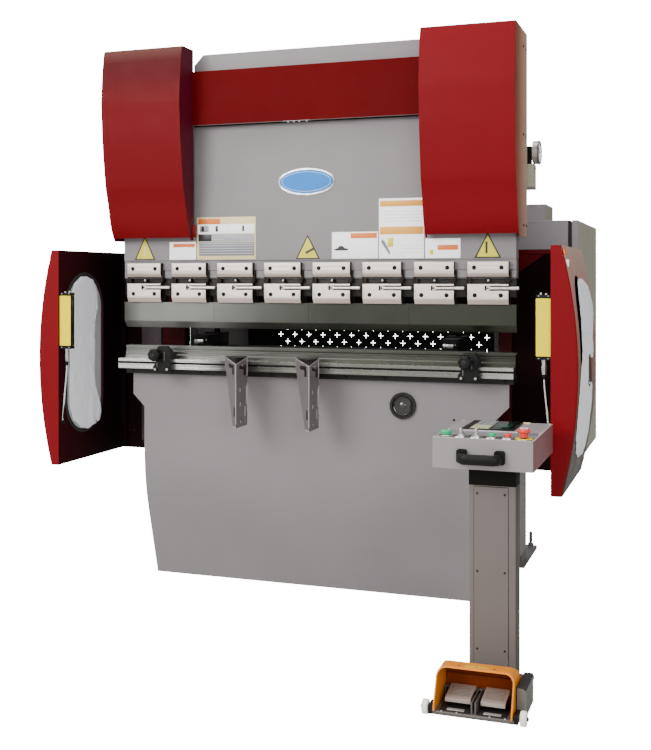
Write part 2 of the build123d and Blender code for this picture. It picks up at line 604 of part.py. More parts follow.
# ---- foot switch unit ----
FOOT_PIN_Y, FOOT_PIN_Z = -760.0, 48.0
WHEEL_Y, WHEEL_R = -866.0, 21.5
with BuildPart() as foot_base:
    block(708, 950, -886, -700, 8, 20)
    fillet(foot_base.edges().filter_by(Axis.X).group_by(Axis.Y)[0], 4)
    block(819, 823, -874, -750, 20, 52)
    block(830, 834, -874, -750, 20, 52)
    block(721, 725, -775, -745, 20, 54)
    block(927, 931, -775, -745, 20, 54)
    bar_x(721, 931, FOOT_PIN_Y, FOOT_PIN_Z, 4)
    block(944, 970, -838, -700, 12, 94)
    block(712, 944, -724, -700, 20, 84)
    block(704, 712, -888, -846, 12, 34)
    block(944, 952, -888, -846, 12, 34)
    bar_x(674, 708, WHEEL_Y, WHEEL_R, 4)
    bar_x(948, 981, WHEEL_Y, WHEEL_R, 4)
    fillet(foot_base.edges().filter_by(Axis.Y).filter_by_position(Axis.Z, 93, 95).sort_by(Axis.X)[-1:], 14)
foot_base.part.label = "foot_base"
export_step(foot_base.part, "parts/foot_base.step")

with BuildPart() as foot_hood:
    with BuildSketch(Plane.XZ.offset(730)):
        with Locations((826, 77.5)):
            RectangleRounded(228, 115, 28)
        with Locations((826, 40)):
            Rectangle(228, 40)
    extrude(amount=160)
    with BuildSketch(Plane.YZ.offset(690)):
        with BuildLine():
            Polyline((-720, 140), (-790, 140), (-782, 134), (-768, 122), (-729, 84), (-720, 84), close=True)
        make_face()
    extrude(amount=270, mode=Mode.SUBTRACT)
    with BuildSketch(Plane.XZ.offset(734)):
        with Locations((826, 75)):
            RectangleRounded(218, 110, 24)
        with Locations((826, 35)):
            Rectangle(218, 32)
    extrude(amount=160, mode=Mode.SUBTRACT)
    with BuildSketch(Plane.YZ.offset(715)):
        with BuildLine():
            Polyline((-729, 84), (-768, 122), (-782, 134), (-788, 134), (-774, 122), (-736, 84), (-736, 60), (-729, 60), close=True)
        make_face()
    extrude(amount=222)
    with BuildSketch(Plane.YZ.offset(700)):
        with BuildLine():
            Polyline((-900, 34), (-890, 34), (-838, 136), (-900, 136), close=True)
        make_face()
    extrude(amount=260, mode=Mode.SUBTRACT)
foot_hood.part.label = "foot_hood"
export_step(foot_hood.part, "parts/foot_hood.step")

for side, xa, xb in (("left", 738.0, 812.0), ("right", 842.0, 912.0)):
    with BuildPart() as pedal:
        with BuildSketch(Plane.YZ.offset(xa)):
            with BuildLine():
                Polyline((-758, 40), (-752, 46), (-752, 54), (-758, 58), (-838, 48), (-845, 44), (-845, 35),
                         (-841, 35), (-840, 42), (-768, 51), (-764, 42), close=True)
            make_face()
            with Locations((FOOT_PIN_Y, FOOT_PIN_Z)):
                Circle(8.5)
                Circle(4.5, mode=Mode.SUBTRACT)
        extrude(amount=xb - xa)
    pedal.part.label = f"foot_pedal_{side}"
    export_step(pedal.part, f"parts/foot_pedal_{side}.step")

with BuildPart() as castor_wheels:
    for xa, xb in ((677, 695), (959, 977)):
        with BuildSketch(Plane.XZ.offset(-WHEEL_Y)):
            with BuildLine():
                Polyline((xa, WHEEL_R + 4.5), (xb, WHEEL_R + 4.5), (xb, 2 * WHEEL_R - 3), (xb - 3, 2 * WHEEL_R),
                         (xa + 3, 2 * WHEEL_R), (xa, 2 * WHEEL_R - 3), close=True)
            make_face()
        revolve(axis=Axis((0, WHEEL_Y, WHEEL_R), (1, 0, 0)))
castor_wheels.part.label = "castor_wheels"
export_step(castor_wheels.part, "parts/castor_wheels.step")
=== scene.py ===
import bpy, bmesh, math
from mathutils import Vector, Matrix, noise


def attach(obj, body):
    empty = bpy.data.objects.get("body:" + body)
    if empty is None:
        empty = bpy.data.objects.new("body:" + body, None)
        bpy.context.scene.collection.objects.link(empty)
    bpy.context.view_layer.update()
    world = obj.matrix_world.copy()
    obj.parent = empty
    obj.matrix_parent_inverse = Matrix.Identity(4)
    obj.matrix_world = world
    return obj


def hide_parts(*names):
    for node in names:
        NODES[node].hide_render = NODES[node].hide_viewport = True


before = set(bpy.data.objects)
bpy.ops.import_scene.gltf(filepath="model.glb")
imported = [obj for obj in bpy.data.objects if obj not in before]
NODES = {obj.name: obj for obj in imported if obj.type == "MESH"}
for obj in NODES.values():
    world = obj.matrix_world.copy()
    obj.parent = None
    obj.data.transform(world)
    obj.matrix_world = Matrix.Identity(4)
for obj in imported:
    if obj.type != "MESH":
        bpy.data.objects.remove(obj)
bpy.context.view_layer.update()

# ---------------------------------------------------------------- camera
cam_data = bpy.data.cameras.new("camera")
cam_data.sensor_width = 36.0
cam_data.lens = 52.85
cam_data.shift_y = -95.0 / 750.0
cam_data.clip_end = 60.0
cam = bpy.data.objects.new("camera", cam_data)
bpy.context.scene.collection.objects.link(cam)
forward = Vector((-0.3297, 0.9441, 0.0)).normalized()
right = Vector((forward.y, -forward.x, 0.0))
up = Vector((0, 0, 1))
cam.matrix_world = Matrix((
    (right.x, up.x, -forward.x, 1.460),
    (right.y, up.y, -forward.y, -3.958),
    (right.z, up.z, -forward.z, 1.250),
    (0, 0, 0, 1)))
bpy.context.scene.camera = cam


# ---------------------------------------------------------------- materials
def nodes_of(name):
    m = bpy.data.materials.new(name)
    m.use_nodes = True
    nt = m.node_tree
    b = nt.nodes["Principled BSDF"]
    tc = nt.nodes.new("ShaderNodeTexCoord")
    return m, nt, b, tc.outputs["Object"]


def mapped(nt, co, scale, loc=(0, 0, 0)):
    mp = nt.nodes.new("ShaderNodeMapping")
    mp.inputs["Scale"].default_value = scale
    mp.inputs["Location"].default_value = loc
    nt.links.new(co, mp.inputs["Vector"])
    return mp.outputs["Vector"]


def noise_tex(nt, co, scale, detail=3.0, rough=0.5):
    n = nt.nodes.new("ShaderNodeTexNoise")
    n.inputs["Scale"].default_value = scale
    n.inputs["Detail"].default_value = detail
    n.inputs["Roughness"].default_value = rough
    nt.links.new(co, n.inputs["Vector"])
    return n.outputs["Fac"]


def ramp(nt, fac, a, b, lo=0.3, hi=0.7):
    r = nt.nodes.new("ShaderNodeValToRGB")
    r.color_ramp.elements[0].position = lo
    r.color_ramp.elements[1].position = hi
    r.color_ramp.elements[0].color = (*a, 1)
    r.color_ramp.elements[1].color = (*b, 1)
    nt.links.new(fac, r.inputs["Fac"])
    return r.outputs["Color"]


def rng(nt, fac, lo, hi):
    r = nt.nodes.new("ShaderNodeMapRange")
    r.inputs["From Min"].default_value = 0.25
    r.inputs["From Max"].default_value = 0.75
    r.inputs["To Min"].default_value = lo
    r.inputs["To Max"].default_value = hi
    nt.links.new(fac, r.inputs["Value"])
    return r.outputs["Result"]


def bump(nt, b, height, strength, dist=0.0004):
    n = nt.nodes.new("ShaderNodeBump")
    n.inputs["Strength"].default_value = strength
    n.inputs["Distance"].default_value = dist
    nt.links.new(height, n.inputs["Height"])
    nt.links.new(n.outputs["Normal"], b.inputs["Normal"])


def mul(c, k):
    return tuple(min(1.0, v * k) for v in c)


def paint(name, color, rough=0.42, coat=0.0, peel=0.12, vary=0.06, peel_scale=450.0, spec=0.35):
    """Sprayed paint: faint large tone shifts, fine orange peel, uneven gloss."""
    m, nt, b, co = nodes_of(name)
    big = noise_tex(nt, co, 2.3, 4.0)
    nt.links.new(ramp(nt, big, mul(color, 1 - vary), mul(color, 1 + vary)), b.inputs["Base Color"])
    nt.links.new(rng(nt, noise_tex(nt, co, 14.0, 5.0), rough - 0.05, rough + 0.06), b.inputs["Roughness"])
    bump(nt, b, noise_tex(nt, co, peel_scale, 2.0), peel, 0.0003)
    b.inputs["Coat Weight"].default_value = coat
    b.inputs["Specular IOR Level"].default_value = spec
    b.inputs["Coat Roughness"].default_value = 0.15
    return m


def metal(name, color, rough=0.3, stretch=(3, 260, 260), strength=0.12, metallic=1.0, vary=0.10):
    """Ground or brushed metal with lines along one axis and patchy sheen."""
    m, nt, b, co = nodes_of(name)
    b.inputs["Metallic"].default_value = metallic
    lines = noise_tex(nt, mapped(nt, co, stretch), 1.0, 4.0, 0.6)
    patch = noise_tex(nt, co, 9.0, 4.0)
    nt.links.new(ramp(nt, patch, mul(color, 1 - vary), mul(color, 1 + vary)), b.inputs["Base Color"])
    nt.links.new(rng(nt, lines, rough - 0.08, rough + 0.10), b.inputs["Roughness"])
    bump(nt, b, lines, strength, 0.0003)
    return m


def plastic(name, color, rough=0.5, grain=900.0, strength=0.25, vary=0.05, spec=0.5):
    m, nt, b, co = nodes_of(name)
    nt.links.new(ramp(nt, noise_tex(nt, co, 18.0, 3.0), mul(color, 1 - vary), mul(color, 1 + vary)), b.inputs["Base Color"])
    nt.links.new(rng(nt, noise_tex(nt, co, 60.0, 3.0), rough - 0.05, rough + 0.06), b.inputs["Roughness"])
    bump(nt, b, noise_tex(nt, co, grain, 2.0), strength, 0.0002)
    b.inputs["Specular IOR Level"].default_value = spec
    return m


GREY = (0.250, 0.228, 0.232)
M = {
    "grey": paint("paint_grey", GREY, 0.46, peel=0.10),
    "grey_box": paint("paint_grey_box", (0.290, 0.262, 0.264), 0.44),
    # darker reddish copy of the box grey for its +X side face: painted shade
    "box_side_shade": paint("paint_box_side", (0.215, 0.082, 0.090), 0.46, spec=0.15),
    "grey_cab": paint("paint_grey_cabinet", (0.330, 0.300, 0.318), 0.42),
    # greenish-beige copy of the cabinet grey for the +X side faces: painted reflection
    "cab_side_reflection": paint("cabinet_side_reflection_paint", (0.330, 0.320, 0.235), 0.46),
    "grey_ped": paint("paint_grey_pedestal", (0.155, 0.132, 0.120), 0.46),
    "ped_side_shade": paint("pedestal_side_shade_paint", (0.060, 0.058, 0.045), 0.5),
    "neck": paint("shadowed_neck", (0.006, 0.0055, 0.004), 0.6, spec=0.1),
    "grey_arm": paint("paint_grey_arm", (0.150, 0.130, 0.132), 0.40),
    "grey_light": paint("paint_grey_light", (0.30, 0.275, 0.275), 0.42),
    "foot_body": paint("foot_body", (0.14, 0.136, 0.125), 0.5),
    "grey_dark": paint("paint_grey_dark", (0.16, 0.15, 0.145), 0.5),
    "red": paint("paint_red", (0.188, 0.0016, 0.0052), 0.50, spec=0.12, peel=0.16, vary=0.05, peel_scale=320.0),
    "red_in_shade": paint("paint_red_dark", (0.055, 0.0015, 0.004), 0.55, vary=0.08, spec=0.15),
    "nickel": metal("nickel_plate", (0.98, 0.86, 0.78), 0.36, (4, 220, 220), 0.06, 0.62, 0.05),
    "nickel_bevel_shade": metal("nickel_bevel_shade", (0.74, 0.60, 0.53), 0.40, (4, 220, 220), 0.08, 0.85, 0.05),
    "tool": metal("tool_steel", (0.26, 0.265, 0.235), 0.36, (2, 300, 300), 0.18, 0.9, 0.12),
    "tool_shade_dark": metal("tool_shade_dark", (0.022, 0.017, 0.012), 0.42, (2, 200, 200), 0.12, 0.8, 0.15),
    "die": metal("die_steel", (0.42, 0.43, 0.39), 0.32, (1.2, 380, 380), 0.2, 0.95, 0.10),
    "rail": metal("rail_bright", (0.80, 0.78, 0.76), 0.26, (1.0, 420, 420), 0.16, 0.9, 0.05),
    "steel": metal("bright_steel", (0.66, 0.65, 0.63), 0.28, (60, 60, 60), 0.06, 1.0, 0.06),
    "chrome": metal("hard_chrome", (0.80, 0.80, 0.82), 0.12, (90, 90, 4), 0.03, 1.0, 0.03),
    "oxide": metal("black_oxide", (0.014, 0.0125, 0.011), 0.50, (80, 80, 80), 0.10, 0.4, 0.15),
    "black": plastic("black_moulded", (0.0050, 0.0048, 0.0044), 0.44, spec=0.22),
    "black_gloss": plastic("black_gloss", (0.012, 0.014, 0.014), 0.16, strength=0.03),
    "rubber": plastic("black_rubber", (0.016, 0.015, 0.015), 0.72, 700.0, 0.35),
    "yellow": paint("curtain_yellow", (0.96, 0.79, 0.001), 0.42, vary=0.03, spec=0.08),
    "orange": plastic("hood_orange", (0.78, 0.235, 0.0012), 0.38, 500.0, 0.16, 0.07, 0.3),
    # brighter yellow for the top of the foot hood: painted highlight
    "hood_top_highlight": plastic("hood_top_sheen", (0.75, 0.36, 0.01), 0.4, 500.0, 0.16, 0.1),
    # darker copy of the hood orange for its inner faces: painted shade
    "hood_inside_shade": plastic("hood_inside_shade", (0.22, 0.036, 0.001), 0.6, 500.0, 0.16, 0.1, 0.1),
    "pedal": metal("pedal_cast", (0.46, 0.395, 0.335), 0.5, (120, 120, 120), 0.3, 0.45, 0.10),
    "pedal_dark": metal("pedal_tread", (0.24, 0.20, 0.17), 0.5, (120, 120, 120), 0.3, 0.45, 0.10),
    "foot_plate": metal("foot_plate", (0.125, 0.110, 0.098), 0.5, (120, 120, 120), 0.3, 0.4, 0.12),
    "castor": plastic("castor_white", (0.90, 0.86, 0.78), 0.5, 300.0, 0.15),
    "castor_shade": plastic("castor_shade", (0.45, 0.42, 0.36), 0.5, 300.0, 0.15),
    "green": plastic("cap_green", (0.010, 0.42, 0.17), 0.24, strength=0.04),
    "red_cap": plastic("cap_red", (0.72, 0.035, 0.030), 0.26, strength=0.04),
    "amber": plastic("ring_yellow", (0.85, 0.62, 0.03), 0.35, strength=0.05),
    "white": plastic("white_print", (0.80, 0.80, 0.79), 0.45, 400.0, 0.05, 0.02),
    "label_orange": plastic("label_orange", (0.86, 0.20, 0.03), 0.45, 400.0, 0.05, 0.04),
    "label_yellow": plastic("label_yellow", (0.80, 0.70, 0.03), 0.42, 400.0, 0.05, 0.04),
    "label_cream": plastic("label_cream", (0.86, 0.72, 0.36), 0.45, 400.0, 0.05, 0.04),
    "label_grey": plastic("label_grey", (0.22, 0.22, 0.24), 0.45, 400.0, 0.05, 0.08),
    "label_mid": plastic("label_mid", (0.42, 0.42, 0.44), 0.45, 400.0, 0.05, 0.08),
    "label_black": plastic("label_black", (0.02, 0.02, 0.02), 0.4, 400.0, 0.05),
    "blue": plastic("badge_blue", (0.020, 0.235, 0.72), 0.3, 200.0, 0.03, 0.05, 0.15),
    "beige": paint("paint_beige", (0.46, 0.44, 0.33), 0.48),
    "screen": plastic("display_dark", (0.006, 0.010, 0.008), 0.14, 200.0, 0.01),
    "screen_lit": plastic("display_green", (0.010, 0.050, 0.028), 0.16, 200.0, 0.01),
    "key_pale": plastic("key_pale", (0.52, 0.52, 0.30), 0.4, 300.0, 0.05),
    "panel_dark": plastic("panel_dark", (0.055, 0.052, 0.052), 0.35, 300.0, 0.05),
    "panel_grey": plastic("panel_grey", (0.22, 0.21, 0.23), 0.3, 300.0, 0.05),
    "green_light": plastic("cap_green_light", (0.03, 0.62, 0.30), 0.22, strength=0.04),
    "motor": paint("motor_blue_grey", (0.05, 0.075, 0.10), 0.45),
    "rail_dark": metal("rail_side", (0.30, 0.30, 0.27), 0.35, (1.0, 300, 300), 0.16, 0.9, 0.08),
    "chrome_dark": metal("gauge_ring", (0.30, 0.28, 0.33), 0.18, (90, 90, 90), 0.03, 1.0, 0.03),
    "olive": plastic("keypad_olive", (0.30, 0.31, 0.14), 0.4, 300.0, 0.05),
    "panel": metal("panel_plate", (0.62, 0.61, 0.58), 0.36, (300, 4, 300), 0.10, 0.8, 0.05),
    # near-black red for surfaces in the throat and behind the guards: painted shade
    "painted_shade_dark": paint("painted_shade_inner", (0.010, 0.0010, 0.0018), 0.65, vary=0.2, spec=0.08),
    "post": paint("post_grey_pink", (0.060, 0.040, 0.045), 0.55),
    "cable": plastic("cable_white", (0.70, 0.70, 0.68), 0.4, strength=0.04),
    "pane": plastic("window_pane", (0.50, 0.52, 0.55), 0.15, 300.0, 0.02, 0.05),
    "label_light": plastic("label_light", (0.62, 0.62, 0.64), 0.45, 400.0, 0.05, 0.04),
    "label_pale": plastic("label_pale", (0.68, 0.68, 0.72), 0.45, 400.0, 0.05, 0.04),
    "label_amber": plastic("label_amber", (0.90, 0.42, 0.05), 0.45, 400.0, 0.05, 0.04),
    "blue_light": plastic("badge_line", (0.55, 0.68, 0.85), 0.3, 200.0, 0.03, 0.05),
    # pale paint for light lines along edges: painted highlights
    "edge_highlight": plastic("highlight_strip_paint", (0.55, 0.50, 0.50), 0.35, 200.0, 0.05, 0.05),
    "disc": metal("port_disc", (0.10, 0.095, 0.09), 0.16, (40, 40, 40), 0.05, 1.0, 0.2),
}


def film_material(glow=0.26):
    """Milky protective film: blotchy, faintly creased, slightly glossy, with a painted glow from a weak emission."""
    m, nt, b, co = nodes_of("window_film")
    nt.links.new(ramp(nt, noise_tex(nt, mapped(nt, co, (6, 6, 3)), 1.5, 6.0, 0.6), (0.66, 0.67, 0.70), (0.80, 0.81, 0.83)), b.inputs["Base Color"])
    nt.links.new(rng(nt, noise_tex(nt, co, 30.0, 4.0), 0.22, 0.42), b.inputs["Roughness"])
    v = nt.nodes.new("ShaderNodeTexVoronoi")
    v.feature = "DISTANCE_TO_EDGE"
    v.inputs["Scale"].default_value = 9.0
    nt.links.new(mapped(nt, co, (1, 1.6, 0.7)), v.inputs["Vector"])
    bump(nt, b, v.outputs["Distance"], 0.25, 0.003)
    b.inputs["Emission Color"].default_value = (0.78, 0.80, 0.86, 1)
    b.inputs["Emission Strength"].default_value = glow
    return m


def lit(name, color, glow):
    """Bright printed stock with a painted glow: an emission of its own colour keeps it from greying."""
    m = plastic(name, color, 0.45, 400.0, 0.04, 0.02)
    b = m.node_tree.nodes["Principled BSDF"]
    b.inputs["Emission Color"].default_value = (*color, 1)
    b.inputs["Emission Strength"].default_value = glow
    return m


# white print, name plates and castor wheels glow a little: painted light
M["white_lit"] = lit("white_bright", (0.92, 0.92, 0.91), 1.1)
M["white"] = lit("white_card", (0.88, 0.875, 0.87), 0.80)
M["castor"] = lit("castor_white", (0.88, 0.83, 0.75), 0.35)
M["film"] = film_material()


def guard_side_reflection_material():
    """Red paint on the guard's outer face with a painted reflection: brownish beige high up, fading to dark towards the
    floor.
    """
    m, nt, b, co = nodes_of("guard_outer_reflection")
    sep = nt.nodes.new("ShaderNodeSeparateXYZ")
    nt.links.new(co, sep.inputs["Vector"])
    r = nt.nodes.new("ShaderNodeValToRGB")
    e = r.color_ramp.elements
    e[0].position, e[0].color = 0.0, (0.022, 0.016, 0.010, 1)
    e[1].position, e[1].color = 1.0, (0.46, 0.31, 0.24, 1)
    for pos, c in ((0.22, (0.055, 0.030, 0.018, 1)), (0.5, (0.20, 0.075, 0.035, 1)), (0.80, (0.40, 0.185, 0.150, 1))):
        k = e.new(pos)
        k.color = c
    mr = nt.nodes.new("ShaderNodeMapRange")
    mr.inputs["From Min"].default_value = 0.523
    mr.inputs["From Max"].default_value = 1.367
    nt.links.new(sep.outputs["Z"], mr.inputs["Value"])
    nt.links.new(mr.outputs["Result"], r.inputs["Fac"])
    nt.links.new(r.outputs["Color"], b.inputs["Base Color"])
    nt.links.new(rng(nt, noise_tex(nt, co, 11.0, 4.0), 0.34, 0.5), b.inputs["Roughness"])
    b.inputs["Specular IOR Level"].default_value = 0.25
    bump(nt, b, noise_tex(nt, co, 30.0, 3.0), 0.2, 0.001)
    return m


M["guard_side"] = guard_side_reflection_material()


def fade_material(name, axis, stops, lo, hi, rough=0.5, spec=0.12):
    """Paint whose tone shifts along one axis between lo and hi metres."""
    m, nt, b, co = nodes_of(name)
    sep = nt.nodes.new("ShaderNodeSeparateXYZ")
    nt.links.new(co, sep.inputs["Vector"])
    r = nt.nodes.new("ShaderNodeValToRGB")
    e = r.color_ramp.elements
    e[0].position, e[0].color = stops[0][0], (*stops[0][1], 1)
    e[1].position, e[1].color = stops[-1][0], (*stops[-1][1], 1)
    for pos, c in stops[1:-1]:
        k = e.new(pos)
        k.color = (*c, 1)
    mr = nt.nodes.new("ShaderNodeMapRange")
    mr.inputs["From Min"].default_value = lo
    mr.inputs["From Max"].default_value = hi
    nt.links.new(sep.outputs[axis], mr.inputs["Value"])
    nt.links.new(mr.outputs["Result"], r.inputs["Fac"])
    nt.links.new(r.outputs["Color"], b.inputs["Base Color"])
    nt.links.new(rng(nt, noise_tex(nt, co, 14.0, 5.0), rough - 0.05, rough + 0.06), b.inputs["Roughness"])
    bump(nt, b, noise_tex(nt, co, 400.0, 2.0), 0.12, 0.0003)
    b.inputs["Specular IOR Level"].default_value = spec
    return m


def painted_reflection_metal(name, stops, rough, metallic, scale, depth):
    """Ground steel with a painted reflection: its tone changes in bands along the machine's width."""
    m = fade_material(name, "X", stops, -0.8, 0.8, rough, 0.4)
    nt = m.node_tree
    b = nt.nodes["Principled BSDF"]
    b.inputs["Metallic"].default_value = metallic
    co = nt.nodes.new("ShaderNodeTexCoord").outputs["Object"]
    bump(nt, b, noise_tex(nt, mapped(nt, co, scale), 1.0, 3.0), depth, 0.0006)
    return m


# punch, die and rail: the bright and dark bands along X are painted reflections
M["tool"] = painted_reflection_metal("tool_steel", [(0.0, (0.10, 0.10, 0.092)), (0.05, (0.235, 0.238, 0.222)), (0.20, (0.21, 0.212, 0.196)), (0.38, (0.092, 0.094, 0.082)),
                                      (0.56, (0.047, 0.049, 0.039)), (1.0, (0.052, 0.055, 0.042))], 0.36, 0.9, (2, 300, 300), 0.18)
M["die"] = painted_reflection_metal("die_steel", [(0.0, (0.26, 0.262, 0.245)), (0.22, (0.20, 0.202, 0.186)), (0.40, (0.115, 0.115, 0.100)),
                                    (1.0, (0.066, 0.066, 0.052))], 0.32, 0.95, (1.2, 380, 380), 0.2)
M["rail"] = painted_reflection_metal("rail_bright", [(0.0, (0.98, 0.94, 0.92)), (0.22, (0.90, 0.86, 0.83)), (0.29, (0.14, 0.135, 0.125)), (0.42, (0.13, 0.125, 0.115)),
                                       (0.50, (0.32, 0.305, 0.28)), (0.62, (0.24, 0.23, 0.205)), (0.86, (0.26, 0.25, 0.225)), (1.0, (0.60, 0.57, 0.54))], 0.26, 0.9,
                        (1.0, 420, 420), 0.16)
# guard inner faces: dark red fading to black towards the back, painted shade
M["inner_shade_gradient"] = fade_material("inner_shade_gradient", "Y", [(0.0, (0.036, 0.0022, 0.0042)), (0.35, (0.024, 0.0016, 0.0030)), (0.62, (0.0075, 0.0009, 0.0014)),
                                                    (1.0, (0.0040, 0.0006, 0.0008))], -0.34, 0.36, 0.62, 0.08)
# left cover: a darker band high up and a brownish sheen at the very top, painted shade and painted sheen
M["red_cover_sheen"] = fade_material("red_cover_sheen", "Z", [(0.0, (0.165, 0.0015, 0.004)), (0.70, (0.150, 0.0016, 0.0040)), (0.86, (0.098, 0.0014, 0.0030)), (0.93, (0.088, 0.0060, 0.0060)),
                                                  (1.0, (0.140, 0.050, 0.040))], 1.406, 2.161)
# darker red for the left cover's inner +X side: painted shade
M["red_shade"] = paint("red_shade", (0.085, 0.002, 0.012), 0.5, spec=0.15)
# darker copy of the cover red for the cross cover: painted shade
M["red_cross_shaded"] = paint("red_cross_shaded", (0.110, 0.0012, 0.0020), 0.58, spec=0.055)
# right cover's outer side: red fading to beige towards the back, painted reflection
M["cover_side"] = fade_material("cover_side", "Y", [(0.0, (0.190, 0.005, 0.008)), (0.30, (0.28, 0.090, 0.052)), (0.62, (0.40, 0.225, 0.140)),
                                                   (1.0, (0.48, 0.350, 0.250))], -0.131, 0.150)


# ---------------------------------------------------------------- helpers (all lengths in mm)
def finish_mesh(name, bm, mat, body, smooth=True):
    me = bpy.data.meshes.new(name)
    bmesh.ops.recalc_face_normals(bm, faces=bm.faces)
    bm.to_mesh(me)
    bm.free()
    o = bpy.data.objects.new(name, me)
    bpy.context.scene.collection.objects.link(o)
    for mm in (mat if isinstance(mat, (list, tuple)) else [mat]):
        me.materials.append(mm)
    if smooth:
        for p in me.polygons:
            p.use_smooth = True
        me.set_sharp_from_angle(angle=math.radians(35))
    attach(o, body)
    return o


def box_bm(bm, x0, x1, y0, y1, z0, z1, bev=0.0, seg=2):
    r = bmesh.ops.create_cube(bm, size=1.0)
    vs = r["verts"]
    for v in vs:
        v.co = Vector(((x0 + x1) / 2 + v.co.x * (x1 - x0), (y0 + y1) / 2 + v.co.y * (y1 - y0),
                       (z0 + z1) / 2 + v.co.z * (z1 - z0))) / 1000.0
    if bev > 0:
        es = list({e for v in vs for e in v.link_edges})
        bmesh.ops.bevel(bm, geom=es, offset=bev / 1000.0, segments=seg, affect="EDGES", profile=0.5)


def rbox(name, x0, x1, y0, y1, z0, z1, mat, body, bev=1.0):
    bm = bmesh.new()
    box_bm(bm, x0, x1, y0, y1, z0, z1, bev)
    return finish_mesh(name, bm, mat, body)


def boxes(name, items, mat, body, bev=0.8):
    bm = bmesh.new()
    for it in items:
        box_bm(bm, *it, bev)
    return finish_mesh(name, bm, mat, body)


def lathe_bm(bm, profile, centre, axis="Z", segs=32, flip=1):
    """Closed lathe of (radius, height) pairs, starting and ending on the axis."""
    c = Vector(centre)
    rings = []
    for r, h in profile:
        ring = []
        n = 1 if r < 1e-6 else segs
        for i in range(n):
            a = 2 * math.pi * i / segs
            u, w = r * math.cos(a), r * math.sin(a)
            if axis == "Z":
                p = Vector((u, w, flip * h))
            elif axis == "Y":
                p = Vector((u, flip * h, w))
            else:
                p = Vector((flip * h, u, w))
            ring.append(bm.verts.new((c + p) / 1000.0))
        rings.append(ring)
    for a, b in zip(rings, rings[1:]):
        if len(a) == 1 and len(b) == 1:
            continue
        for i in range(segs):
            j = (i + 1) % segs
            if len(a) == 1:
                bm.faces.new((a[0], b[i], b[j]))
            elif len(b) == 1:
                bm.faces.new((a[i], a[j], b[0]))
            else:
                bm.faces.new((a[i], a[j], b[j], b[i]))


def lathe(name, profile, centre, mat, body, axis="Z", segs=40, flip=1):
    bm = bmesh.new()
    lathe_bm(bm, profile, centre, axis, segs, flip)
    return finish_mesh(name, bm, mat, body)


def screw_profile(r, h):
    """Button head with a socket."""
    return [(0, 0.35 * h), (0.42 * r, 0.35 * h), (0.42 * r, h), (0.70 * r, h * 0.97), (0.92 * r, 0.62 * h), (r, 0.2 * h), (r, -0.6), (0, -0.6)]


def screws(name, places, r, h, mat, body, axis="Y", flip=-1):
    bm = bmesh.new()
    for p in places:
        lathe_bm(bm, screw_profile(r, h), p, axis, 18, flip)
    return finish_mesh(name, bm, mat, body)


def tube(name, pts, r, mat, body, cyclic=False, res=6):
    cu = bpy.data.curves.new(name, "CURVE")
    cu.dimensions = "3D"
    cu.bevel_depth = r / 1000.0
    cu.bevel_resolution = res
    cu.use_fill_caps = True
    sp = cu.splines.new("NURBS")
    sp.points.add(len(pts) - 1)
    for q, p in zip(sp.points, pts):
        q.co = (p[0] / 1000.0, p[1] / 1000.0, p[2] / 1000.0, 1.0)
    sp.use_cyclic_u = cyclic
    sp.order_u = 3
    sp.use_endpoint_u = not cyclic
    cu.resolution_u = 8
    cu.materials.append(mat)
    o = bpy.data.objects.new(name, cu)
    bpy.context.scene.collection.objects.link(o)
    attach(o, body)
    return o


def prism(name, pts, axis, a, b, mat, body, bev=0.0):
    """Closed outline extruded along an axis: pts are (y,z), (x,z) or (x,y) pairs in mm."""
    bm = bmesh.new()
    def put(p, h):
        q = {"X": (h, p[0], p[1]), "Y": (p[0], h, p[1]), "Z": (p[0], p[1], h)}[axis]
        return bm.verts.new(Vector(q) / 1000.0)
    lo = [put(p, a) for p in pts]
    hi = [put(p, b) for p in pts]
    bm.faces.new(lo)
    bm.faces.new(list(reversed(hi)))
    n = len(pts)
    for i in range(n):
        j = (i + 1) % n
        bm.faces.new((lo[i], lo[j], hi[j], hi[i]))
    if bev:
        bmesh.ops.bevel(bm, geom=[e for e in bm.edges], offset=bev / 1000.0, segments=2, affect="EDGES", profile=0.5)
    return finish_mesh(name, bm, mat, body)


def ring_points(cx, cz, a, b, n=64):
    return [(cx + a * math.cos(2 * math.pi * i / n), cz + b * math.sin(2 * math.pi * i / n)) for i in range(n)]


def slot_points(cy, cz, w, h, n=24):
    """Upright slot outline, w wide and h high overall."""
    r, k = w / 2, h / 2 - w / 2
    top = [(cy + r * math.cos(math.pi * i / n), cz + k + r * math.sin(math.pi * i / n)) for i in range(n + 1)]
    bot = [(cy - r * math.cos(math.pi * i / n), cz - k - r * math.sin(math.pi * i / n)) for i in range(n + 1)]
    return top + bot


def bulge(z):
    """Outer skin of a side guard: distance from the machine's centre at height z."""
    c, h, zm = 55.0, 422.0, 945.0
    r = (h * h + c * c) / (2 * c)
    return 1048.0 - r + math.sqrt(max(1.0, r * r - (z - zm) ** 2))


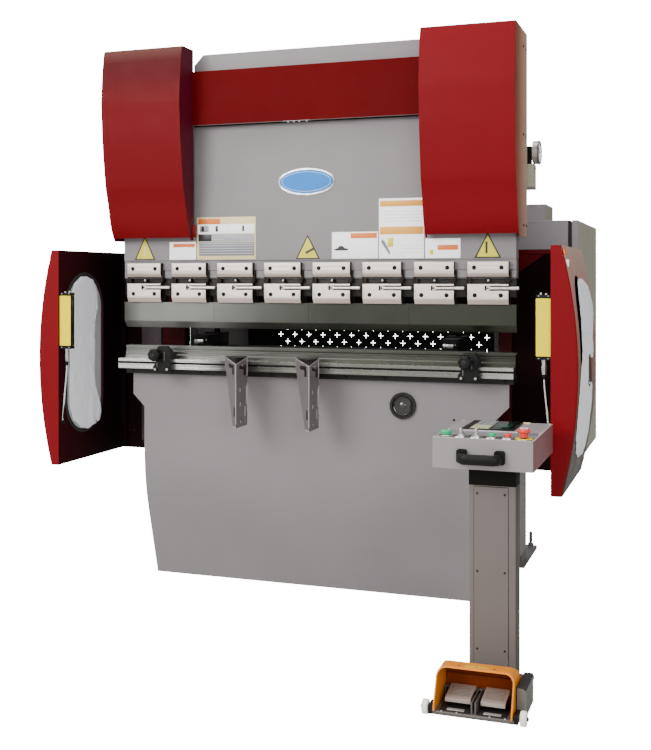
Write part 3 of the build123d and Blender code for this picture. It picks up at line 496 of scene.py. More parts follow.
def sheet(name, outline, surf, mat, body, rings=16, wrinkle=3.0, seed=0.0, lift=0.8, edge=2.0, sub=4):
    """Loose film: a fan of rings inside an outline of (y, z), laid on surf(z) and creased."""
    pts = []
    m = len(outline)
    for i in range(m):
        a, b = outline[i], outline[(i + 1) % m]
        for k in range(sub):
            t = k / sub
            pts.append((a[0] + (b[0] - a[0]) * t, a[1] + (b[1] - a[1]) * t))
    cy = sum(p[0] for p in pts) / len(pts)
    cz = sum(p[1] for p in pts) / len(pts)
    bm = bmesh.new()
    prev = None
    sgn = 1.0 if surf(cz) > 0 else -1.0
    for j in range(rings + 1):
        f = 1.0 - j / rings
        row = []
        for i, p in enumerate(pts):
            y, z = cy + (p[0] - cy) * f, cz + (p[1] - cz) * f
            if j == 0:
                y += edge * noise.noise(Vector((i * 0.37, seed, 2.0)))
                z += edge * noise.noise(Vector((i * 0.37, seed, 5.0)))
            q = Vector((y / 46.0, z / 95.0, seed))
            w = abs(noise.noise(q)) * 0.9 + abs(noise.noise(q * 2.7)) * 0.5 + 0.25 * abs(noise.noise(q * 7.0))
            near = min(1.0, 0.45 + 0.9 * f * f)
            row.append(bm.verts.new(Vector((surf(z) + sgn * 0 + (lift + wrinkle * w * near) * DIRN[name], y, z)) / 1000.0))
            if f < 1e-6:
                break
        if prev:
            n = len(prev)
            if len(row) == 1:
                for i in range(n):
                    bm.faces.new((prev[i], prev[(i + 1) % n], row[0]))
            else:
                for i in range(n):
                    bm.faces.new((prev[i], prev[(i + 1) % n], row[(i + 1) % n], row[i]))
        prev = row
    me = bpy.data.meshes.new(name)
    bm.to_mesh(me)
    bm.free()
    o = bpy.data.objects.new(name, me)
    bpy.context.scene.collection.objects.link(o)
    me.materials.append(mat)
    for p in me.polygons:
        p.use_smooth = True
    so = o.modifiers.new("thickness", "SOLIDIFY")
    so.thickness = 0.0003
    so.offset = 0.0
    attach(o, body)
    return o


def set_material(node, *mats, pick=None, bevel=0.8, angle=38.0, sharp=0):
    """Material slots on a CAD node, with a small edge round and clean shading."""
    o = NODES[node]
    o.data.materials.clear()
    for m in mats:
        o.data.materials.append(m)
    for p in o.data.polygons:
        p.material_index = pick(p.center * 1000.0, p.normal) if pick else 0
        p.use_smooth = True
    if sharp:
        o.data.set_sharp_from_angle(angle=math.radians(sharp))
    w = o.modifiers.new("weld", "WELD")
    w.merge_threshold = 0.00002
    if bevel:
        b = o.modifiers.new("edge_round", "BEVEL")
        b.width = bevel / 1000.0
        b.segments = 2
        b.limit_method = "ANGLE"
        b.angle_limit = math.radians(angle)
        b.use_clamp_overlap = True
        b.harden_normals = False
    wn = o.modifiers.new("face_normals", "WEIGHTED_NORMAL")
    wn.weight = 100
    wn.keep_sharp = True
    return o

# ---------------------------------------------------------------- CAD nodes: materials and edges
for n, m in (("side_frames", "grey"), ("cross_beams", "grey"), ("ram_plate", "grey"), ("clamp_bar", "grey"), ("pedestal", "grey_ped"),
             ("oil_tank", "grey")):
    set_material(n, M[m], bevel=1.2)
# the control box's +X side face takes the darker copy of its grey: painted shade
set_material("control_box", M["grey_box"], M["box_side_shade"], pick=lambda c, nn: 1 if nn.x > 0.6 else 0, bevel=1.2)
# cabinet and door: +X side faces take the greenish-beige copy, a painted reflection
set_material("electrical_cabinet", M["grey_cab"], M["cab_side_reflection"], pick=lambda c, nn: 1 if nn.x > 0.6 else 0, bevel=1.6)
set_material("cabinet_door", M["grey_cab"], M["cab_side_reflection"], pick=lambda c, nn: 1 if nn.x > 0.6 else 0, bevel=2.2)
set_material("bed_apron", M["grey"], bevel=1.0)
for n in ("support_arm_left", "support_arm_right"):
    set_material(n, M["grey_arm"], bevel=0.5)
# left cover: painted top sheen, and its inner +X side in the darker red as painted shade
set_material("cylinder_cover_left", M["red_cover_sheen"], M["red_shade"], pick=lambda c, nn: 1 if nn.x > 0.6 else 0, bevel=4.0)
# right cover: its outer +X side takes the beige fade, a painted reflection
set_material("cylinder_cover_right", M["red"], M["cover_side"], pick=lambda c, nn: 1 if nn.x > 0.6 and c.x > 818 else 0, bevel=4.0)
set_material("cross_cover", M["red_cross_shaded"], bevel=1.0)
for n in ("light_curtain_left", "light_curtain_right"):
    set_material(n, M["yellow"], M["black"], M["steel"],
                 pick=lambda c, nn: 0 if 992.5 < c.z < 1187.5 else (2 if 928 < c.z < 962 else 1), bevel=0.9)
# clamp plates: bevel faces get a darker nickel, and side, back and slot faces a near-black steel, both painted shade
set_material("clamp_plates", M["nickel"], M["nickel_bevel_shade"], M["tool_shade_dark"],
             pick=lambda c, nn: 1 if (nn.y < -0.2 and abs(nn.z) > 0.3) else (2 if nn.y > -0.2 or (1210 < c.z < 1230 and 1 < c.y < 19.5) else 0), bevel=0.7)
for k in range(1, 9):
    set_material(f"clamp_lever_{k}", M["nickel"], bevel=0.5)
# clamp bodies, seen through the gaps, in the same near-black steel: painted shade
set_material("clamp_bodies", M["tool_shade_dark"], M["oxide"], pick=lambda c, nn: 1 if (nn.y < -0.5 and c.y > 29) else 0, bevel=0.6)
set_material("clamp_screws", M["oxide"], bevel=0.3)
set_material("punch", M["tool"], bevel=0.4)
set_material("die", M["die"], bevel=0.4)
set_material("support_rail", M["rail"], M["oxide"], pick=lambda c, nn: 1 if c.y > -29 and c.y < -15 and c.z < 924 and c.z > 914 else 0, bevel=0.4)
set_material("bed_beam", M["oxide"], bevel=1.0)
set_material("bed_port", M["oxide"], M["disc"], pick=lambda c, nn: 1 if (math.hypot(c.x - 372, c.z - 778) < 30.5) else 0, bevel=0.8)
set_material("frame_feet", M["grey_dark"], M["oxide"], pick=lambda c, nn: 1 if (c.z > 20.5 and abs(abs(c.x) - 704.5) < 14.5 and abs(c.x) > 690.5) else 0)
set_material("cylinders", M["grey_dark"], bevel=1.0)
set_material("piston_rods", M["chrome"], bevel=0.5)
set_material("pressure_gauge", M["beige"], M["black"], M["steel"],
             pick=lambda c, nn: 0 if c.z < 1684.5 and c.x < 839 else (2 if c.x > 834.5 else 1), bevel=0.8)
for n in ("rear_guard", "gauge_beam", "gauge_finger_left", "gauge_finger_right"):
    set_material(n, M["oxide"], bevel=0.5 if n != "rear_guard" else 0)
set_material("box_handle", M["black"], bevel=1.5)
for n in ("rail_stop_left", "rail_stop_right"):
    set_material(n, M["black"], bevel=0.8)
set_material("button_start", M["green"], bevel=0.6)
set_material("button_up", M["green"], bevel=0.6)
set_material("button_off", M["red_cap"], bevel=0.6)
set_material("selector_mode", M["steel"], bevel=0.6)
set_material("selector_tool", M["steel"], bevel=0.6)
set_material("emergency_stop", M["red_cap"], M["black"], pick=lambda c, nn: 1 if c.z < 780.5 else 0, bevel=0.8)
set_material("foot_base", M["foot_plate"], M["foot_body"], M["steel"],
             pick=lambda c, nn: 1 if (c.x > 945.9 and c.y > -838.5 and c.z > 12.1) else 0, bevel=0.9)
set_material("foot_hood", M["orange"], M["hood_inside_shade"], pick=lambda c, nn: 1 if (nn.z < -0.3 and c.z > 60) or (c.z < 131 and abs(c.x - 826) < 108.5 and abs(nn.x) < 0.5) else 0, bevel=1.4)
for n in ("foot_pedal_left", "foot_pedal_right"):
    set_material(n, M["pedal"], bevel=0.9)
set_material("castor_wheels", M["castor"], bevel=0.6)

# ---------------------------------------------------------------- guards, films, light curtains
def guard_pick(s):
    def f(c, n):
        if abs(c.x) > 990 and n.x * s > 0.2 and abs(n.y) < 0.6:
            return 1
        if (n.x * s < -0.5 and abs(c.x) < 958) or abs(c.y) < 352 and abs(c.x) < 952:
            return 2
        if c.y > 300:
            return 2
        return 0
    return f


# guards: inner faces take the dark gradient, painted shade
set_material("guard_left", M["red"], M["red"], M["inner_shade_gradient"], pick=guard_pick(-1), bevel=1.2)
# right guard: its outer face takes the painted reflection
set_material("guard_right", M["red"], M["guard_side"], M["inner_shade_gradient"], pick=guard_pick(1), bevel=1.2)
# guard mounts painted near-black as shade, their outer ends oxide
set_material("guard_mounts", M["painted_shade_dark"], M["oxide"], pick=lambda c, nn: 1 if (abs(c.x) > 951) else 0)
for n in ("window_left", "window_right"):
    set_material(n, M["pane"], bevel=0.6)

DIRN = {}
LEFT_IN = [(62, 1200), (64, 1137), (48, 1104), (40, 1020), (44, 940), (40, 870), (52, 792), (88, 735), (92, 690), (74, 662),
           (40, 655), (-10, 640), (-70, 655), (-120, 690), (-146, 745), (-150, 820), (-146, 900), (-148, 1000),
           (-150, 1100), (-142, 1180), (-115, 1235), (-70, 1262), (-20, 1264), (25, 1252), (50, 1225)]
DIRN["film_left_inner"] = 1.0
sheet("film_left_inner", LEFT_IN, lambda z: -954.4, M["film"], "guard_left_body", wrinkle=7.0, seed=3.1, edge=5.0)
RIGHT_OUT = [(-6, 1252), (-60, 1228), (-86, 1181), (-90, 1138), (-97, 1095), (-117, 1045), (-138, 995), (-168, 930), (-192, 881), (-200, 824),
             (-194, 764), (-164, 709), (-106, 658), (26, 620), (150, 613), (230, 630), (252, 670), (249, 708), (243, 756), (221, 805),
             (212, 857), (205, 867), (88, 877), (52, 900), (49, 930), (60, 962), (80, 971), (226, 964), (248, 989), (230, 1027), (245, 1064), (290, 1099), (336, 1125),
             (346, 1154), (336, 1178), (320, 1202), (272, 1226), (185, 1246), (100, 1256)]
DIRN["film_right_outer"] = 1.0
sheet("film_right_outer", RIGHT_OUT, bulge, M["film"], "guard_right_body", wrinkle=5.0, seed=8.7, edge=4.0)
LEFT_OUT = list(RIGHT_OUT)
DIRN["film_left_outer"] = -1.0
sheet("film_left_outer", LEFT_OUT, lambda z: -bulge(z), M["film"], "guard_left_body", wrinkle=5.0, seed=5.3, edge=4.0)
DIRN["film_right_inner"] = -1.0
sheet("film_right_inner", LEFT_IN, lambda z: 954.4, M["film"], "guard_right_body", wrinkle=7.0, seed=6.6, edge=5.0)

for s, side in ((-1, "left"), (1, "right")):
    body = f"guard_{side}_body"
    # rubber beading round the inner opening
    bm = bmesh.new()
    loops = []
    for w, h, x in ((260, 622, 956.0), (262, 624, 952.6), (286, 648, 952.2), (290, 652, 955.2)):
        loops.append([bm.verts.new(Vector((s * x, y, z)) / 1000.0) for y, z in slot_points(-30, 955, w, h)])
    for a, b in zip(loops, loops[1:]):
        n = len(a)
        for i in range(n):
            j = (i + 1) % n
            bm.faces.new((a[i], a[j], b[j], b[i]))
    finish_mesh(f"window_bead_{side}", bm, M["rubber"], body)
    # recessed pull on the outer skin
    xo = bulge(925) + 1.0
    prism(f"pull_plate_{side}", slot_points(112, 925, 100, 118), "X", s * (xo - 6), s * (xo + 1.6), M["oxide"], body, 0.6)
    prism(f"pull_pocket_{side}", slot_points(104, 925, 74, 92), "X", s * (xo + 1.4), s * (xo + 2.2), M["black"], body)
    prism(f"pull_lip_{side}", [(134, 880), (152, 884), (158, 925), (152, 966), (134, 970)], "X", s * (xo + 1.2), s * (xo + 7), M["guard_side"], body, 1.2)
    # light curtain trim: dark side strip, lens, end screws, plug collar
    xa, xb = s * 905, s * 911
    boxes(f"curtain_strip_{side}", [(min(s * 904.2, s * 912), max(s * 904.2, s * 912), -214.6, -188.6, 992.5, 1187.5)], M["black"], body, 0.6)
    boxes(f"curtain_lens_{side}", [(min(s * 903.6, s * 904.4), max(s * 903.6, s * 904.4), -206, -196, 1000, 1180)], M["black_gloss"], body, 0.2)
    screws(f"curtain_screws_{side}", [(s * 914, -213, 1196), (s * 946, -213, 1196), (s * 914, -213, 985), (s * 946, -213, 985)], 2.6, 1.6, M["steel"], body)
    lathe(f"curtain_studs_{side}", [(0, 0), (4, 0), (4, 7), (2.5, 8), (0, 8)], (s * 920, -200, 1199.5), M["steel"], body, segs=16)
    lathe(f"curtain_stud2_{side}", [(0, 0), (5, 0), (5, 5), (3, 6), (0, 6)], (s * 938, -200, 1199.5), M["steel"], body, segs=16)
    lathe(f"curtain_plug_{side}", [(0, 0), (5, 0), (5, 4), (8.4, 6), (8.4, 16), (9.4, 18), (9.4, 27), (7.6, 29), (7.6, 42), (9, 43), (9, 50), (0, 50)],
          (s * 930, -200, 930.5), M["steel"], body, segs=28)
    lathe(f"curtain_boot_{side}", [(0, 0), (3.0, 0), (5.4, 6), (5.8, 18), (0, 18)], (s * 930.4, -200, 913), M["black"], body, segs=20)
    lead = tube(f"curtain_lead_{side}", [(s * 930.4, -200, 928), (s * 931.2, -200, 902), (s * 934, -200, 870), (s * 940, -200, 810), (s * 945.5, -200, 750),
                                         (s * 949.4, -200, 714), (s * 949.8, -200, 690)], 2.9, M["cable"], body)
    tube(f"curtain_lead_tie_{side}", [(s * 941, -203.6, 800), (s * 944.5, -203.6, 801), (s * 944.5, -196.4, 801), (s * 937.4, -196.4, 799), (s * 937.4, -203.6, 799)],
         1.0, M["label_yellow"], body, cyclic=True)
    # hinge leaves' bolts
    for z in (618, 1258):
        screws(f"hinge_bolts_{side}_{z}", [(s * 972, 359, z), (s * 960, 359, z)], 5, 3, M["oxide"], body, "Y", 1)

# warning-free blank stickers on the guard
prism("sticker_guard_orange", [(-217, 1352), (-170, 1356), (-176, 1322), (-214, 1320)], "X", bulge(1338) - 4, bulge(1338) + 0.7, M["label_orange"], "guard_right_body")
prism("sticker_guard_white", [(-208, 1318), (-172, 1319), (-178, 1286), (-204, 1284)], "X", bulge(1300) - 4, bulge(1300) + 1.0, M["white"], "guard_right_body")

# fixed posts behind the punch line, with dark red strips and near-black sheets as painted shade
boxes("left_rear_post", [(-856, -762, 268, 283.5, 560, 1360)], M["post"], "frame", 1.5)
# dark red strips on the rear panels: the red paint darkened as painted shade
boxes("left_red_strip", [(-756, -652, 272, 283.6, 560, 1360)], M["red_in_shade"], "frame", 1.0)
boxes("right_red_strip", [(690.5, 742, 268, 283.6, 560, 1360)], M["red_in_shade"], "frame", 1.0)
boxes("throat_shade_screens", [(-689.5, -655, 405, 409, 880, 1430), (655, 689.5, 405, 409, 880, 1430)], M["painted_shade_dark"], "frame", 0.5)
boxes("guard_panel_ribs", [(-945, -930, 262, 283.6, 540, 1350), (930, 945, 262, 283.6, 540, 1350)], M["painted_shade_dark"], "frame", 1.0)
screws("panel_bolts", [(x, 283.4, z) for x in (-900, 900, -720, 720) for z in (600, 800, 1100, 1300)], 6, 4, M["oxide"], "frame")

# ---------------------------------------------------------------- ram front: blank labels and badge
def plate(name, x0, x1, z0, z1, mat, k=1, body="ram", y=20.0):
    return boxes(name, [(x0, x1, y - 0.35 * k, y + 0.15, z0, z1)], mat, body, 0.08)


def triangle(name, x0, x1, z0, z1, k=1):
    xm = (x0 + x1) / 2
    prism(name + "_edge", [(x0, z0), (x1, z0), (xm, z1)], "Y", 20.1, 20 - 0.4 * k, M["label_black"], "ram")
    w, h = x1 - x0, z1 - z0
    prism(name + "_face", [(x0 + 0.09 * w, z0 + 0.05 * h), (x1 - 0.09 * w, z0 + 0.05 * h), (xm, z1 - 0.11 * h)], "Y", 20.0, 20 - 0.4 * k - 0.3, M["label_yellow"], "ram")


triangle("sign_left", -752, -658, 1331, 1428)
triangle("sign_middle", -51.5, 48.5, 1330.5, 1425)
triangle("sign_right", 646.5, 746, 1330.5, 1424)
prism("sign_left_bar", [(-709, 1345), (-701, 1345), (-701, 1385), (-709, 1385)], "Y", 19.4, 19.0, M["label_cream"], "ram")
prism("sign_middle_mark", [(-8, 1350), (24, 1366), (20, 1374), (-12, 1358)], "Y", 19.4, 18.9, M["label_black"], "ram")
prism("sign_right_mark", [(688, 1348), (696, 1348), (696, 1390), (688, 1390)], "Y", 19.4, 18.9, M["label_black"], "ram")
plate("card_a", -594, -477, 1331.5, 1402, M["white"])
plate("card_a_head", -578, -481, 1381, 1395, M["label_orange"], 2)
plate("card_b", -472.5, -218.5, 1331, 1499, M["label_cream"])
plate("card_b_head", -465, -372, 1472, 1493, M["label_orange"], 2)
plate("card_b_row", -468, -224, 1434, 1470, M["white"], 2)
plate("card_b_dark", -466, -224, 1402, 1432, M["label_mid"], 2)
plate("card_b_darker", -464, -408, 1404, 1430, M["label_black"], 3)
plate("card_b_grey", -462, -224, 1346, 1400, M["label_grey"], 2)
plate("card_b_lines", -459, -420, 1440, 1466, M["label_mid"], 3)
boxes("card_b_rows", [(-458, -228, 19.0, 19.6, z, z + 2.0) for z in (1354, 1364, 1374, 1384, 1393)]
      + [(-404 + 60 * i, -356 + 60 * i, 19.0, 19.6, 1410 + 9 * (i % 2), 1412 + 9 * (i % 2)) for i in range(3)], M["label_light"], "ram", 0.05)
boxes("card_b_icons", [(-452, -440, 18.9, 19.5, 1442, 1462), (-391, -380, 18.9, 19.5, 1441, 1464), (-334, -333, 18.9, 19.5, 1438, 1466),
                       (-276, -267, 18.9, 19.5, 1442, 1464)], M["label_black"], "ram", 0.05)
plate("card_c", 97, 280, 1331.5, 1432.5, M["white"])
plate("card_c_head", 172, 276, 1408, 1428, M["label_orange"], 2)
prism("card_c_mark", [(104, 1367), (112, 1362), (158, 1362), (166, 1370), (150, 1371), (140, 1380), (128, 1380), (120, 1372)], "Y", 19.5, 19.1, M["label_black"], "ram")
plate("card_d", 284, 458, 1331, 1556, M["white"])
plate("card_d_top", 288, 458, 1526, 1548, M["label_amber"], 2)
plate("card_d_band", 287, 456, 1421, 1450, M["label_amber"], 2)
prism("card_d_mark", [(296, 1404), (306, 1396), (330, 1350), (324, 1346), (292, 1392)], "Y", 19.5, 19.1, M["label_grey"], "ram")
plate("card_d_pale", 318, 340, 1374, 1408, M["label_yellow"], 2)
boxes("card_d_lines", [(300, 452, 19.1, 19.7, z, z + 1.6) for z in (1470, 1482, 1494, 1506)] + [(370, 450, 19.1, 19.7, z, z + 1.2) for z in (1352, 1366, 1380)],
      M["label_pale"], "ram", 0.05)
plate("card_e", 463, 595, 1331, 1403, M["white"])
plate("card_e_head", 509, 587, 1361, 1380, M["label_orange"], 2)
plate("card_e_mark", 480, 494, 1344, 1362, M["label_yellow"], 2)

prism("badge_rim", ring_points(-7, 1629, 116, 52), "Y", 20.1, 17.6, M["steel"], "ram", 0.5)
prism("badge_face", ring_points(-7, 1629, 109, 45.5), "Y", 18, 17.1, M["blue"], "ram", 0.2)
prism("badge_line", ring_points(-7, 1629, 101, 38.5), "Y", 17.3, 16.9, M["blue_light"], "ram")
for nm, flat, area, rest in (("film_left_inner", (0.244, 0.628), 0.1210, "window_left"), ("film_right_inner", (0.244, 0.628), 0.1210, "window_right"),
                             ("film_left_outer", (0.560, 0.660), 0.2500, "guard_left"), ("film_right_outer", (0.560, 0.660), 0.2500, "guard_right")):
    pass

prism("badge_field", ring_points(-7, 1629, 99, 36.5), "Y", 17.2, 16.75, M["blue"], "ram")

# ---------------------------------------------------------------- covers
screws("cover_side_screws", [(s * 819.2, y, z) for s in (1,) for y in (60, 120) for z in (1450, 1780, 2100)], 5, 2.5, M["oxide"], "frame", "X", 1)
screws("cover_side_screws_left", [(-819.2, y, z) for y in (60, 120) for z in (1450, 1780, 2100)], 5, 2.5, M["oxide"], "frame", "X", -1)
boxes("cross_cover_lip", [(-474, 474, -19.4, -15, 1859.4, 1861.2)], M["grey_dark"], "frame", 0.3)
boxes("cross_cover_glint", [(-90, 20, -19.6, -18.6, 1859.6, 1861.0)], M["edge_highlight"], "frame", 0.2)
boxes("cross_cover_shadow", [(-474, 474, -14, 11, 1857.5, 1860.8)], M["painted_shade_dark"], "frame", 0.2)
for i, x in enumerate((-70, -46, -24, 6)):
    lathe(f"cross_fitting_{i}", [(0, 0), (4.5, 0), (4.5, 3), (2.6, 3.6), (2.6, 6), (0, 6)], (x, -12, 1861), M["steel"], "frame", "Z", 18, -1)
boxes("cover_corner_tabs", [(470, 492, -22, 14, 1420, 1468), (-492, -470, -22, 14, 1420, 1468)], M["red"], "frame", 1.5)

# ---------------------------------------------------------------- support arms
def web_box(name, x, p, q, t0, t1, z0, z1, lift, thick, mat, body, bev=0.3):
    """Thin plate on a sheet-metal web running from p to q (x, y offsets), outward on the right of p to q."""
    a, b = Vector((x + p[0], p[1], 0)), Vector((x + q[0], q[1], 0))
    d = b - a
    n = Vector((d.y, -d.x, 0)).normalized()
    c0, c1 = a + d * t0, a + d * t1
    bm = bmesh.new()
    lo, hi = [], []
    for c, z in ((c0, z0), (c1, z0), (c1, z1), (c0, z1)):
        base = Vector((c.x, c.y, z))
        lo.append(bm.verts.new((base + n * (lift - thick)) / 1000.0))
        hi.append(bm.verts.new((base + n * lift) / 1000.0))
    bm.faces.new(lo)
    bm.faces.new(list(reversed(hi)))
    for i in range(4):
        j = (i + 1) % 4
        bm.faces.new((lo[i], lo[j], hi[j], hi[i]))
    if bev:
        bmesh.ops.bevel(bm, geom=list(bm.edges), offset=bev / 1000.0, segments=2, affect="EDGES", profile=0.5)
    return finish_mesh(name, bm, mat, body)


def web_notch(name, x, p, q, pts, lift, mat, body):
    """Flat patch on a web: pts are (share of the way from p to q, z)."""
    a, b = Vector((x + p[0], p[1], 0)), Vector((x + q[0], q[1], 0))
    d = b - a
    n = Vector((d.y, -d.x, 0)).normalized()
    bm = bmesh.new()
    lo, hi = [], []
    for t, z in pts:
        c = a + d * t
        base = Vector((c.x, c.y, z))
        lo.append(bm.verts.new((base + n * (lift - 0.8)) / 1000.0))
        hi.append(bm.verts.new((base + n * lift) / 1000.0))
    bm.faces.new(lo)
    bm.faces.new(list(reversed(hi)))
    for i in range(len(pts)):
        j = (i + 1) % len(pts)
        bm.faces.new((lo[i], lo[j], hi[j], hi[i]))
    bmesh.ops.recalc_face_normals(bm, faces=bm.faces)
    return finish_mesh(name, bm, mat, body)


RIDGE, LEFT, RIGHT = (12, -150), (-84, -34), (9, -34)
for side, x in (("left", -240.0), ("right", 53.6)):
    body = f"arm_{side}"
    # black plate on the arm's top and dark triangles on its webs: painted shade of the open mouth
    prism(f"arm_mouth_shade_{side}", [(x - 82, -34.6), (x + 11.5, -148), (x + 8, -34.6)], "Z", 955.0, 955.9, M["oxide"], body)
    # light lines on the arm's ridge, edges, rims and foot: painted highlights
    tube(f"arm_ridge_highlight_{side}", [(x + 12.0, -150.3, 931), (x + 12.0, -150.3, 860), (x + 12.0, -150.3, 780), (x + 12.0, -150.3, 706)], 1.1, M["edge_highlight"], body)
    boxes(f"arm_edge_highlight_{side}", [(x + 8.6, x + 10.0, -38, -33.6, 742, 850), (x + 8.6, x + 10.0, -38, -33.6, 880, 950)], M["edge_highlight"], body, 0.3)
    web_box(f"arm_hook_r_{side}", x, RIDGE, RIGHT, 0.30, 0.88, 911, 924, 0.7, 1.2, M["oxide"], body, 0.5)
    web_box(f"arm_hook_r2_{side}", x, RIDGE, RIGHT, 0.66, 0.88, 884, 912, 0.7, 1.2, M["oxide"], body, 0.5)
    web_box(f"arm_hook_r3_{side}", x, RIDGE, RIGHT, 0.50, 0.74, 918, 927, 1.0, 1.2, M["steel"], body, 0.4)
    web_box(f"arm_hook_l_{side}", x, LEFT, RIDGE, 0.34, 0.80, 914, 928, 0.7, 1.2, M["oxide"], body, 0.5)
    web_box(f"arm_hook_l2_{side}", x, LEFT, RIDGE, 0.66, 0.82, 890, 914, 0.7, 1.2, M["oxide"], body, 0.5)
    web_box(f"arm_hook_l3_{side}", x, LEFT, RIDGE, 0.62, 0.74, 929, 937, 1.1, 1.4, M["steel"], body, 0.4)
    web_notch(f"arm_notch_shade_l_{side}", x, LEFT, RIDGE, ((0.0, 953), (1.0, 955.2), (1.0, 933)), 0.5, M["oxide"], body)
    web_notch(f"arm_notch_shade_r_{side}", x, RIDGE, RIGHT, ((0.0, 955.2), (0.0, 933), (1.0, 953)), 0.5, M["oxide"], body)
    web_notch(f"arm_rim_highlight_l_{side}", x, LEFT, RIDGE, ((0.0, 951.5), (0.0, 949.5), (1.0, 930), (1.0, 932.5)), 0.7, M["edge_highlight"], body)
    web_notch(f"arm_rim_highlight_r_{side}", x, RIDGE, RIGHT, ((0.0, 932.5), (0.0, 930), (1.0, 949.5), (1.0, 951.5)), 0.7, M["edge_highlight"], body)
    for i, (t, z0, z1) in enumerate(((0.36, 824, 838), (0.38, 770, 784), (0.80, 727, 765), (0.42, 706, 714), (0.92, 772, 840))):
        web_box(f"arm_slot_{side}_{i}", x, RIDGE, RIGHT, t - 0.03, t + 0.03, z0, z1, 0.4, 1.0, M["edge_highlight"], body, 0.2)
    web_box(f"arm_slot_dark_{side}", x, LEFT, RIDGE, 0.80, 0.90, 732, 768, 0.5, 1.0, M["oxide"], body, 0.2)
    web_box(f"arm_foot_highlight_{side}", x, LEFT, RIDGE, 0.72, 0.99, 690.5, 694, 0.4, 1.0, M["edge_highlight"], body, 0.2)
    screws(f"arm_bolts_{side}", [(x - 70, -37.2, 944), (x - 52, -37.2, 944)], 5, 3.2, M["oxide"], body)

# ---------------------------------------------------------------- rail stops, rail ends, bed
for side, x, k in (("left", -590.0, -19.0), ("right", 640.0, -6.0)):
    body = f"stop_{side}"
    lathe(f"stop_boss_{side}", [(0, 0), (9, 0), (9, 3), (7, 4.5), (0, 4.5)], (x + k, -98, 954), M["black_gloss"], body, "Y", 24, -1)
    boxes(f"stop_shim_{side}", [(x - 28, x + 34, -60.8, -59.6, 973, 976), (x - 24, x + 20, -42, -30, 985, 988)], M["oxide"], body, 0.4)
    screws(f"stop_bolts_{side}", [(x - 24, -66, 897), (x + 28, -66, 897)], 5.5, 3.5, M["steel"], body)
    boxes(f"stop_glint_{side}", [(x + 12, x + 15, -60.9, -60.2, 930, 966), (x - 20, x - 17, -60.9, -60.2, 905, 925)], M["grey_dark"], body, 0.2)
boxes("rail_end_caps", [(-799.5, -797.8, -31, 19, 896, 934), (797.8, 799.5, -31, 19, 896, 934)], M["oxide"], "frame", 0.4)
boxes("rail_shadow_gap", [(-796, 796, 20.3, 41.5, 893, 929)], M["oxide"], "frame", 0.6)
screws("table_bolts", [(x, 19.8, 882) for x in range(-760, 761, 152)], 5.5, 4, M["oxide"], "frame")
screws("die_clamp_screws", [(x, 27.8, 940) for x in range(-780, 781, 120)], 3.2, 1.2, M["oxide"], "frame")
screws("port_screws", [(372 + 45.5 * math.cos(a), 32.2, 778 + 45.5 * math.sin(a)) for a in [math.pi / 3 * i + 0.4 for i in range(6)]], 3.2, 2.0, M["oxide"], "frame")
lathe("port_ring", [(31.5, 0), (35.5, 0), (35.5, 2.0), (34, 3.2), (31.5, 2.0), (31.5, 0)], (372, 33, 778), M["disc"], "frame", "Y", 56, -1)
lathe("port_plug", [(0, 0), (14, 0), (14, 3), (11, 5), (0, 5)], (372, 33, 778), M["disc"], "frame", "Y", 36, -1)
screws("apron_screw", [(566, 42, 732)], 4.5, 3.5, M["oxide"], "frame")
# dark strips on the frame's throat edges, in the painted-shade black
boxes("frame_weld_left", [(-692.5, -690.5, 286, 402, 880, 1430)], M["painted_shade_dark"], "frame", 0.3)
boxes("frame_weld_right", [(690.5, 692.5, 286, 402, 880, 1430)], M["painted_shade_dark"], "frame", 0.3)

M["red_deep"] = paint("red_deep", (0.105, 0.0016, 0.0050), 0.55, spec=0.10)
# red strip and triangle where light falls on the otherwise black-painted panel: painted light
boxes("throat_lit_strip", [(700, 904, 279.4, 281.8, 1349, 1366)], M["red_deep"], "frame", 0.4)
prism("throat_lit_corner", [(742, 1348), (862, 1346), (742, 1264)], "Y", 281.4, 279.8, M["red_deep"], "frame")

# ---------------------------------------------------------------- clamps: dark pockets and gap fillers as painted shade, centre screws
for i, x in enumerate([(k - 4.5) * 200.0 for k in range(1, 9)]):
    screws(f"clamp_wedge_screw_{i}", [(x, 11.6, 1248)], 5.0, 3.0, M["steel"], "ram")
    # dark plate at the back of each lever slot: painted shade
    boxes(f"clamp_slot_shade_{i}", [(x - 10.5, x + 74.6, 17.2, 18.8, 1211.4, 1228.6)], M["oxide"], "ram", 0.1)
    boxes(f"clamp_spacer_{i}", [(x + 76, x + 82, 12, 29, 1244, 1287), (x - 82, x - 76, 16, 29, 1240, 1262)], M["tool_shade_dark"], "ram", 0.5)
    lathe(f"lever_pin_{i}", [(0, 0), (3.6, 0), (3.6, 1.0), (0, 1.4)], (x, 1.35, 1220), M["oxide"], "ram", "Y", 16, -1)
# dark strip behind the clamps that shows in the gaps: painted shade
boxes("clamp_gap_shade_strip", [(-799, 799, 29.5, 51, 1187, 1255)], M["oxide"], "ram", 0.4)
boxes("clamp_groove_line", [(-799.5, 799.5, 23.6, 24.4, 1258, 1260)], M["oxide"], "ram", 0.1)

# ---------------------------------------------------------------- control box
Z = 775.0
boxes("panel_strip", [(680, 962, -696, -680, Z, Z + 0.8), (680, 962, -644, -632, Z, Z + 0.8)]
      + [(a, b, -680, -644, Z, Z + 0.8) for a, b in ((717.5, 734, ), (758, 781), (805, 827), (853, 875), (901, 920), (952, 962))], M["panel_dark"], "frame", 0.2)
